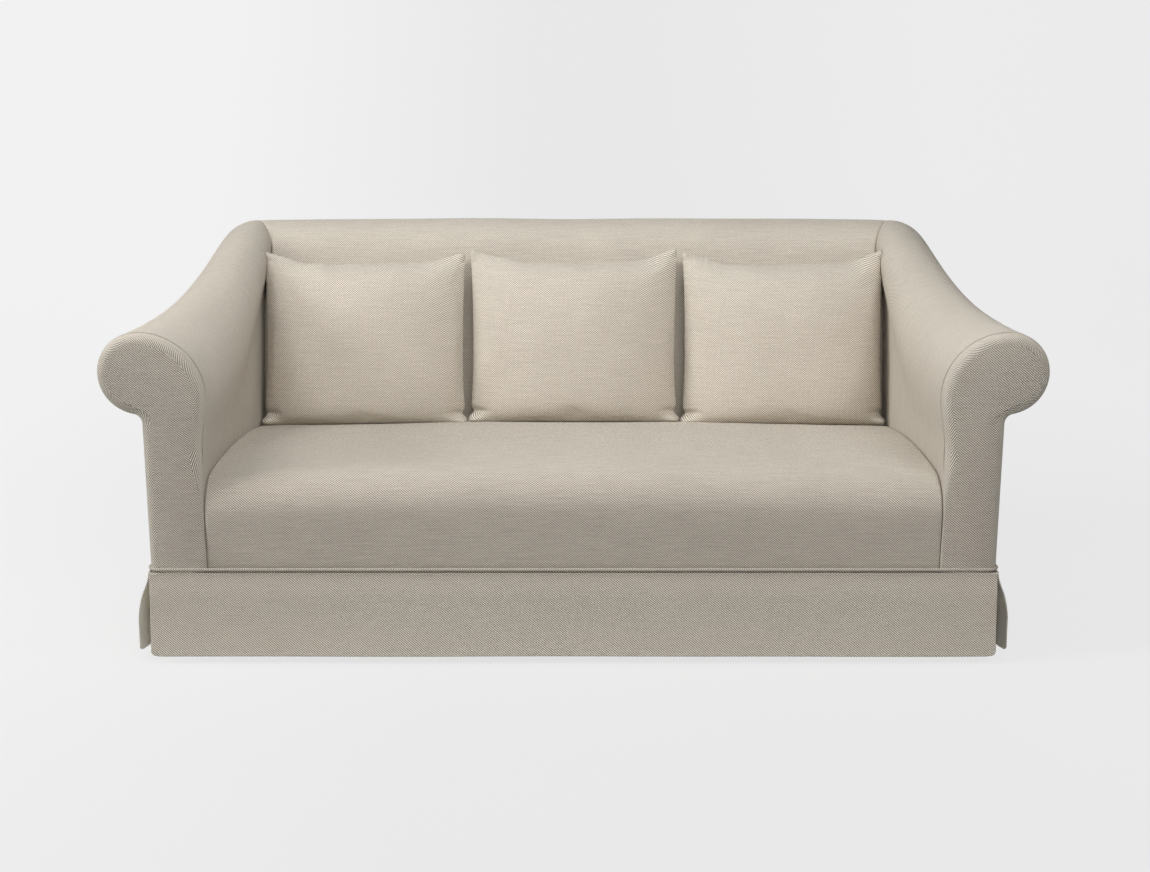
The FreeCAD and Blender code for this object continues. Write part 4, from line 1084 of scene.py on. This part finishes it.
beech = {way: wood("beech_" + way, way, (0.66, 0.50, 0.34), (0.54, 0.39, 0.25), 0.55) for way in "xyz"}
plywood = wood("plywood_face", "z", (0.74, 0.60, 0.42), (0.64, 0.50, 0.34), 0.6, rings=14.0)
dowel = wood("dowel_beech", "x", (0.70, 0.54, 0.36), (0.60, 0.45, 0.29), 0.5, rings=90.0)
stained = wood("stained_foot", "z", (0.24, 0.155, 0.095), (0.14, 0.085, 0.05), 0.38, rings=80.0, coat=0.35)
print("woods", [m.name for m in (*beech.values(), plywood, dowel, stained)])

# %% [markdown]
# ## Steel and plastic
#
# Springs are drawn from oil-tempered wire, which is dark and faintly streaked with brown. The
# screws, bolts and clips are zinc plated, with a fine crystal pattern in the plating. The glides
# under the feet are moulded nylon, matt and scuffed by the floor.

# %% Metal and nylon
def mottled(name, light, dark, roughness, metallic, scale, swing, bump=0.0001, crystals=False):
    """Two tones by a noise or by crystal cells, with the roughness swinging about its middle."""
    material, n, shader = new_material(name, roughness, metallic)
    point = n.add("TexCoord").outputs["Object"]
    pattern = n.noise(point, scale, 4.0, 0.6)
    if crystals:
        cells = n.add("TexVoronoi", {"Vector": point, "Scale": scale * 2}).outputs["Color"]
        pattern = n.math("ADD", n.math("MULTIPLY", pattern, 0.5),
                         n.math("MULTIPLY", n.add("SeparateXYZ", {"Vector": cells}).outputs["X"], 0.5))
    share = n.span(pattern, 0.3, 0.7)
    n.fill(shader.inputs["Base Color"], n.blend(share, tint(light, 1.0), tint(dark, 1.0)))
    n.fill(shader.inputs["Roughness"], n.span(pattern, 0.3, 0.7, roughness - swing, roughness + swing))
    n.bump(shader, pattern, bump, 0.4)
    return material


spring_wire = mottled("spring_wire", (0.38, 0.385, 0.39), (0.29, 0.265, 0.24), 0.38, 1.0, 60.0, 0.10)
zinc = mottled("zinc_plate", (0.66, 0.66, 0.65), (0.55, 0.56, 0.56), 0.32, 1.0, 300.0, 0.08, crystals=True)
nylon = mottled("glide_nylon", (0.13, 0.13, 0.13), (0.10, 0.10, 0.10), 0.5, 0.0, 250.0, 0.10, 0.0002)

# %% [markdown]
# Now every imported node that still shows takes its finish. The table says which way each board's
# grain runs, and the node's own slot is filled, so neither its place nor its mesh changes.

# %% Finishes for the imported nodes
along_x = ("front_rail", "back_rail", "back_top_rail", "back_lower_rail", "seat_back_rail")
along_y = ("arm_tack_rails", "arm_top_rail_left", "arm_top_rail_right", "inner_rails",
           "side_rail_left", "side_rail_right", "stretchers")
slot_of = {row["node"]: row["material_slot"] for row in frame["record"]["subparts"]}
finish_of = {"plywood": plywood, "dowel_wood": dowel, "foot_wood": stained, "spring_steel": spring_wire,
             "zinc_steel": zinc, "glide_plastic": nylon}
finished = 0
for node, slot in slot_of.items():
    if slot == "hardwood":
        finish = beech["x" if node in along_x else "y" if node in along_y else "z"]
    elif slot in finish_of:
        finish = finish_of[slot]
    else:
        continue
    for holder in frame["nodes"][node].material_slots:
        holder.material = finish
    finished += 1
print(finished, "packed nodes finished")

# %% [markdown]
# ## The skirt
#
# Four lined panels hang from under the welt, one for each side, and their edges only meet at the
# corners. The lining gives them body, so they don't fall in folds. The front and back panels swing
# out slowly and most near the hem. The side panels swing out soon and then drop nearly plumb, and
# their ends curl outwards. All four have a faint wave along the hem.

# %% Skirt panels
skirt_top, skirt_thickness = 0.212, 0.003
skirt_corner, hem_round, face_gap = 0.014, 0.0022, 0.0003
skirt_wave, end_curl_reach = 0.0012, 0.045


def skirt_patches(half_length, face, flare, curl, seed, foot_z):
    """A hanging panel facing -Y. Its drop runs from 0 at the top to 1 at the hem.

    A panel with curled ends stands out by an S-curve of the drop and a steady slope, and its ends
    curl out by a further S-curve of how near a point is to them. A plain panel stands out by a
    short S-curve and the square of the drop.
    """
    x = end_shares(130, 0.0009)[None] * half_length
    past = np.clip(np.abs(x) - (half_length - skirt_corner), 0, skirt_corner)
    foot = foot_z + skirt_corner - np.sqrt(skirt_corner ** 2 - past ** 2)
    share = np.concatenate([np.linspace(0, 0.94, 40), [0.96, 0.975, 0.985, 0.993, 0.998, 1.0]])[:, None]
    z = skirt_top + (foot - skirt_top) * share
    drop = (skirt_top - z) / (skirt_top - foot_z)
    stand = flare * np.where(curl > 0, 0.82 * rise((drop - 0.01) / 0.60) + 0.18 * drop,
                             0.2 * rise(drop / 0.3) + 0.8 * drop ** 2)
    stand = stand + curl * rise(1 - (half_length - np.abs(x)) / end_curl_reach) * rise(drop / 0.35)
    waves = ripples(spread(x, 0, 0.15 * z), 0.42, seed, 5)
    stand = stand + skirt_wave * waves * rise(drop / 0.8)
    hem = rise(1 - np.minimum(z - foot, half_length - np.abs(x)) / hem_round)
    half = skirt_thickness / 2 * np.sqrt(np.maximum(1 - hem ** 2, 0.02))
    middle = -(face + face_gap + skirt_thickness / 2) - stand
    return shell(spread(x, middle - half, z), spread(x, middle + half, z), spread(x, z))


def turned(patches, quarter):
    """The patches turned about Z by quarter turns."""
    turn = quarter * math.pi / 2
    ahead, aside = math.cos(turn), math.sin(turn)
    matrix = np.array([[ahead, aside, 0], [-aside, ahead, 0], [0, 0, 1]])
    return [(points @ matrix, cloth) for points, cloth in patches]


lining_cloth, n, shader = new_material("skirt_lining", 0.9, sheen=0.05)
shader.inputs["Subsurface Weight"].default_value = 0.85
shader.inputs["Subsurface Radius"].default_value = (1.0, 0.95, 0.85)
shader.inputs["Subsurface Scale"].default_value = 0.006
lining_uv = n.add("UVMap", uv_map="cloth").outputs["UV"]
threads = n.mapped(lining_uv, Scale=(900.0, 900.0, 1.0))
cotton = (0.84, 0.80, 0.72)
n.fill(shader.inputs["Base Color"], n.blend(n.noise(threads, 1.0, 2.0), tint(cotton, 0.94),
                                            tint(cotton, 1.06)))
n.bump(shader, n.noise(threads, 1.0, 1.0), 0.0002, 0.3)


def line_inside(panel, inward):
    """Gives the lining to each face that looks inwards and lies clear of the panel's edge."""
    panel.data.materials.append(lining_cloth)
    lined = face_normals(panel) @ np.array(inward) > 0.6
    panel.data.polygons.foreach_set("material_index", lined.astype(np.int32))
    print(panel.name, int(lined.sum()), "lined faces")


long_plan = {"half_length": half_body, "face": half_depth, "flare": 0.025, "curl": 0.0,
             "foot_z": 0.0175}
side_plan = {"half_length": half_depth - 0.002, "face": half_body, "flare": 0.0205, "curl": 0.0095,
             "foot_z": 0.020}
skirt_plans = (("front", long_plan), ("right", side_plan), ("back", long_plan), ("left", side_plan))
for quarter, (name, plan) in enumerate(skirt_plans):
    patches = turned(skirt_patches(seed=31 + quarter, **plan), quarter)
    skirt = sew("skirt_panel_" + name, patches, skirt_linen)
    line_inside(skirt, (-math.sin(quarter * math.pi / 2), math.cos(quarter * math.pi / 2), 0))
    dress(skirt, "skirt_" + name, "skirt_cloth", "skirt_" + name)
    report(skirt)

# %% [markdown]
# ## The throw pillows
#
# Three square pillows stand on the seat and lean on the tight back. A knife-edge pillow is two
# squares of cloth sewn together at their edges. Once it is filled, its sides draw in behind each
# corner, and because it stands on one edge, its filling sinks: the upper edge dips between two
# peaked corners, the lower half grows blunt, and each lower corner folds out as an ear.

# %% Pillow shape
pillow_height, pillow_crown = 0.484, 0.082
pillow_draw, pillow_sag = 0.006, 0.034
pillow_columns, pillow_rows = 101, 89
fullest, corner_cut, corner_draw = 0.38, 0.026, 0.28
upright_pucker, level_pucker = 0.019, 0.023
pucker_depth, upright_sway, level_sway = 0.0014, 0.0008, 0.0009
ear_depth, knob_depth, pinch_share = 0.026, 0.009, 0.62


def seam_spacing(count):
    """Places from -1 to 1 that lie closer together towards the seams."""
    even = np.linspace(-1, 1, count)
    return even + 0.12 * np.sin(math.pi * even)


def bell(distance, width):
    """A bell curve: e to the power of less the square of the distance over the width."""
    return np.exp(-(distance / width) ** 2)


def pillow_sheet(side, pillow_width, seed):
    """One face of the pillow, standing upright at the origin.

    Its thickness is the crown times two factors. Each is one less a power of how far a point is
    from the middle, taken to a power below one. The first powers grow towards the foot, where the
    filling has settled.
    """
    across = seam_spacing(pillow_columns)[None]
    up = (0.5 + 0.5 * seam_spacing(pillow_rows))[:, None]
    half_width = pillow_width / 2 - pillow_draw * (1 - np.abs(2 * up - 1) ** 9)
    x = across * half_width
    z = up * (pillow_height - pillow_sag * (1 - np.clip((np.abs(across) - 0.55) / 0.45, 0, 1) ** 1.6))
    flatness = 2.25 + 0.9 * (1 - rise(up / 0.7))
    sides = np.maximum(1 - np.abs(across) ** flatness, 0) ** 0.84
    low = up < fullest
    away = np.where(low, (fullest - up) / fullest, (up - fullest) / (1 - fullest))
    height = np.maximum(1 - away ** np.where(low, 8.0, 3.2), 0) ** 0.62
    y = side * pillow_crown * sides * height
    cloth = spread(across * pillow_width / 2, up * pillow_height)
    from_end = (1 - np.abs(across)) * pillow_width / 2 + 0 * up
    points = round_corners(spread(x, y, z), across, up, from_end)
    points = gather_seams(points, across, up, from_end, side, seed)
    return fold_ears(points, across, up, from_end, side), cloth


def round_corners(points, across, up, from_end):
    """Draws the corners in along their diagonals by the square of how near a point is to one."""
    from_edge = (0.5 - np.abs(up - 0.5)) * pillow_height
    near = np.clip(1 - (from_end + from_edge) / corner_cut, 0, 1) ** 2 * corner_cut * corner_draw
    points[:, :, 0] -= np.sign(across) * near
    points[:, :, 2] -= np.sign(up - 0.5) * near
    return points


def gather_seams(points, across, up, from_end, side, seed):
    """Puckers: sine waves along each seam, of uneven length, that fade away from it."""
    from_edge = (0.5 - np.abs(up - 0.5)) * pillow_height + 0 * across
    x, z = points[:, :, 0], points[:, :, 2]
    uneven = ripples(spread(x, 0, z), 0.09, seed + 40, 5)
    upright = np.sin(z * 2 * math.pi / upright_pucker + 2.5 * uneven) * bell(from_end, 0.020)
    level = np.sin(x * 2 * math.pi / level_pucker + 2.5 * uneven) * bell(from_edge, 0.018)
    inside_seam = np.sqrt(np.clip(np.minimum(from_end, from_edge) / 0.004, 0, 1))
    inside_seam = inside_seam * (1 - bell(np.hypot(from_end, from_edge), 0.045))
    points[:, :, 1] += side * pucker_depth * (upright + level) * inside_seam * (0.6 + 0.4 * uneven)
    points[:, :, 0] += np.sign(across) * upright_sway * upright
    points[:, :, 2] += np.where(up > 0.5, level_sway * level, 0.0)
    return points


def fold_ears(points, across, up, from_end, side):
    """Corners keep a little filling, and each lower one folds out as an ear with a pinch above.

    Each of these is a product of two bell curves, of how far a point is from two seams.
    """
    from_foot, from_top = up * pillow_height, (1 - up) * pillow_height
    ear = bell(from_end - 0.012, 0.022) * bell(from_foot - 0.014, 0.013)
    pinch = bell(from_end, 0.030) * bell(from_foot - 0.040, 0.009)
    knob = bell(from_end - 0.009, 0.013) * bell(from_top - 0.009, 0.015)
    inside_seam = np.sqrt((1 - np.abs(across) ** 40) * (1 - np.abs(2 * up - 1) ** 60))
    points[:, :, 1] *= 1 - pinch_share * pinch
    points[:, :, 1] += side * (ear_depth * ear + knob_depth * knob) * inside_seam
    points[:, :, 0] += np.sign(across) * (0.006 * ear - 0.008 * pinch)
    return points


# %% [markdown]
# The filling is simulated. The cover starts a little slack, cloth with an inner pressure swells
# it, and the seams hold, so small puckers gather along them as they do on a real pillow. Each
# point may only move as far as a cap, which keeps the pillow in its place. The result is kept as
# plain mesh points, and the pillow is then leaned back and flattened where it rests.

# %% Filling a pillow
rest_gap, pillow_sink, foot_forward = 0.0006, 0.014, 0.055
face_ripple, crest_ripple, own_lean = 0.0016, 0.0030, 0.0015


def mesh_points(mesh):
    """The points of a mesh, one in a row."""
    points = np.empty(len(mesh.vertices) * 3)
    mesh.vertices.foreach_get("co", points)
    return points.reshape(-1, 3)


def inflate(piece, pressure, cap, frames=14):
    """Swells a sewn cover by cloth simulation. Moves longer than the cap are cut back to it."""
    start = mesh_points(piece.data)
    cloth = piece.modifiers.new("filling", "CLOTH")
    cloth.settings.quality = 5
    cloth.settings.mass = 0.25
    cloth.settings.tension_stiffness = cloth.settings.compression_stiffness = 30
    cloth.settings.shear_stiffness = 12
    cloth.settings.bending_stiffness = 0.3
    cloth.settings.use_pressure = True
    cloth.settings.uniform_pressure_force = pressure
    cloth.settings.effector_weights.gravity = 0
    cloth.collision_settings.use_collision = False
    scene = bpy.context.scene
    for number in range(1, frames + 1):
        scene.frame_set(number)
    swollen = piece.evaluated_get(bpy.context.evaluated_depsgraph_get())
    move = mesh_points(swollen.data) - start
    length = np.linalg.norm(move, axis=1, keepdims=True)
    piece.modifiers.remove(cloth)
    scene.frame_set(1)
    points = start + move * np.minimum(1, cap / np.maximum(length, 1e-9))
    piece.data.vertices.foreach_set("co", points.ravel())
    print(piece.name, "swelled by up to", round(float(length.max()) * 1000, 1), "mm, on average",
          round(float(length.mean()) * 1000, 1), "mm")


def seat_surface(x, y):
    """The top of the seat at a place: its crest at that X less the fall of its long arc."""
    crest = seat_crest + seat_crown * (1 - (x / half_seat) ** 2)
    away = y + half_depth - crest_setback
    return crest - top_radius + np.sqrt(top_radius ** 2 - away ** 2)


def settle(points, middle_x):
    """Leans a pillow back by the rake, stands it in the seat, and flattens it where it rests."""
    lean = np.array([[1, 0, 0], [0, math.cos(rake), -math.sin(rake)],
                     [0, math.sin(rake), math.cos(rake)]])
    foot_y = back_face(seat_crest) - foot_forward / math.cos(rake)
    foot = np.array([middle_x, foot_y, seat_surface(middle_x, foot_y) - pillow_sink])
    points = points @ lean + foot
    for _ in range(3):
        behind = back_face(points[:, 2]) - rest_gap
        points[:, 1] = np.minimum(points[:, 1], behind)
        below = seat_surface(points[:, 0], points[:, 1]) + rest_gap
        points[:, 2] = np.maximum(points[:, 2], below)
        beside = arm_inner_x(points[:, 1], points[:, 2]) - rest_gap
        points[:, 0] = np.clip(points[:, 0], -beside, beside)
    return points


def make_pillow(name, middle_x, width, seed):
    """Sews one pillow with a few slow ripples of its own, fills it and settles it on the seat."""
    front, cloth = pillow_sheet(-1, width, seed)
    rear, _ = pillow_sheet(1, width, seed)
    pillow = sew("pillow_" + name, [(front, cloth), (rear[::-1], cloth[::-1])], pillow_linen, merge=4e-5)
    points = mesh_points(pillow.data)
    own = np.random.default_rng(seed).uniform(-1, 1)
    uneven = ripples(points, 0.16, seed) * face_ripple
    points[:, 1] += uneven * np.sign(points[:, 1]) * rise(np.abs(points[:, 1]) / 0.03)
    upper = rise((points[:, 2] - 0.40) / 0.03)
    points[:, 2] += ripples(points * (1, 0, 0), 0.11, seed + 1) * crest_ripple * upper
    points[:, 0] += own_lean * own * rise(points[:, 2] / pillow_height)
    pillow.data.vertices.foreach_set("co", points.ravel())
    inflate(pillow, pressure=0.8, cap=0.007)
    pillow.data.vertices.foreach_set("co", settle(mesh_points(pillow.data), middle_x).ravel())
    pillow.data.update()
    smooth = pillow.modifiers.new("smooth", "SUBSURF")
    smooth.levels = smooth.render_levels = 1
    dress(pillow, "pillow_" + name, "pillow_weave", "pillow_cover_" + name, "pillow_filling_" + name)
    report(pillow)


make_pillow("left", -0.5620, 0.554, 5)
make_pillow("middle", 0.0, 0.569, 6)
make_pillow("right", 0.5620, 0.554, 7)

# %% [markdown]
# ## Floor and backdrop
#
# The floor is one white sheet that curves up behind the sofa, as paper does in a studio. Most of
# what the camera sees of it is an even glow, a little brighter towards the sides and the rear, so
# its tone holds to the photograph's. The rest is a matt surface, which takes the soft shadow.

# %% Floor
backdrop_y, backdrop_bend, backdrop_top = 4.0, 3.0, 9.0
paper_share, paper_tone = 0.82, 0.892


def floor_patches():
    """A sheet that runs level under the sofa, bends up by a quarter circle and then stands."""
    x = np.linspace(-9, 9, 60)[None]
    level = np.linspace(-6, backdrop_y, 40)
    turn = np.linspace(0, math.pi / 2, 24)[1:]
    y = np.concatenate([level, backdrop_y + backdrop_bend * np.sin(turn), [backdrop_y + backdrop_bend]])
    z = np.concatenate([0 * level, backdrop_bend - backdrop_bend * np.cos(turn), [backdrop_top]])
    return [patch(spread(x, y[:, None], z[:, None]))]


floor_paint, n, shader = new_material("floor_paint", 0.9)
shader.inputs["Base Color"].default_value = (0.60, 0.60, 0.60, 1)
ray = n.add("LightPath").outputs
seen = n.math("ADD", ray["Is Camera Ray"], ray["Is Glossy Ray"])
seen = n.math("ADD", seen, ray["Is Transmission Ray"], True)
where = n.add("SeparateXYZ", {"Vector": n.add("TexCoord").outputs["Object"]}).outputs
place_x, place_y = where["X"], where["Y"]
to_side = n.math("ADD", n.span(place_x, -0.3, -2.4, 0.0, 0.095), n.span(place_x, 0.5, 2.4, 0.0, 0.040))
tone = n.math("ADD", n.math("ADD", to_side, paper_tone), n.span(place_y, 1.0, 6.0, 0.0, 0.052))
white = n.add("CombineXYZ", {"X": tone, "Y": tone, "Z": tone}).outputs["Vector"]
paper = n.add("Emission", {"Color": white, "Strength": 1.0})
both = n.add("MixShader", {0: n.math("MULTIPLY", seen, paper_share), 1: shader.outputs["BSDF"],
                           2: paper.outputs["Emission"]})
surface = next(node for node in floor_paint.node_tree.nodes if node.type == "OUTPUT_MATERIAL")
floor_paint.node_tree.links.new(both.outputs["Shader"], surface.inputs["Surface"])
floor = sew("floor", floor_patches(), floor_paint)

# %% [markdown]
# ## Light
#
# The main light comes from far out on the left, as the shades on the arms show. A second lamp
# high on the left and a wide one in front soften it, a long low strip lifts the corner between
# the seat and the back, and a weak lamp behind keeps the rear from going black.

# %% Lamps
world_strength = 0.02
world = bpy.data.worlds.new("studio")
world.use_nodes = True
bpy.context.scene.world = world
sky = world.node_tree.nodes["Background"].inputs
sky["Color"].default_value = (1, 1, 1, 1)
sky["Strength"].default_value = world_strength


def soft_box(name, location, target, width, height, power):
    """A rectangular lamp at a place, turned to face a target."""
    lamp = bpy.data.lights.new(name, "AREA")
    lamp.shape = "RECTANGLE"
    lamp.size, lamp.size_y, lamp.energy = width, height, power
    holder = bpy.data.objects.new(name, lamp)
    holder.location = location
    way = np.array(target, float) - np.array(location, float)
    level = math.hypot(way[0], way[1])
    holder.rotation_euler = (math.atan2(level, -way[2]), 0.0, math.atan2(way[1], way[0]) - math.pi / 2)
    holder.visible_camera = False
    bpy.context.scene.collection.objects.link(holder)


soft_box("key_from_left", (-7.5, -1.8, 3.6), (0, 0, 0.5), 2.4, 2.4, 270)
soft_box("key_high_left", (-2.6, -0.8, 3.6), (0, 0, 0.5), 1.6, 1.6, 42)
soft_box("high_front", (1.4, -4.0, 4.0), (0.1, 0, 0.4), 4.0, 1.6, 114)
soft_box("over_seat", (0, -0.62, 1.45), (0, 0.3, 0.55), 3.0, 0.2, 9)
soft_box("behind", (0.8, 4.2, 3.0), (0, 0.5, 0.6), 3.0, 1.2, 42)
bpy.context.scene.view_settings.view_transform = "Standard"
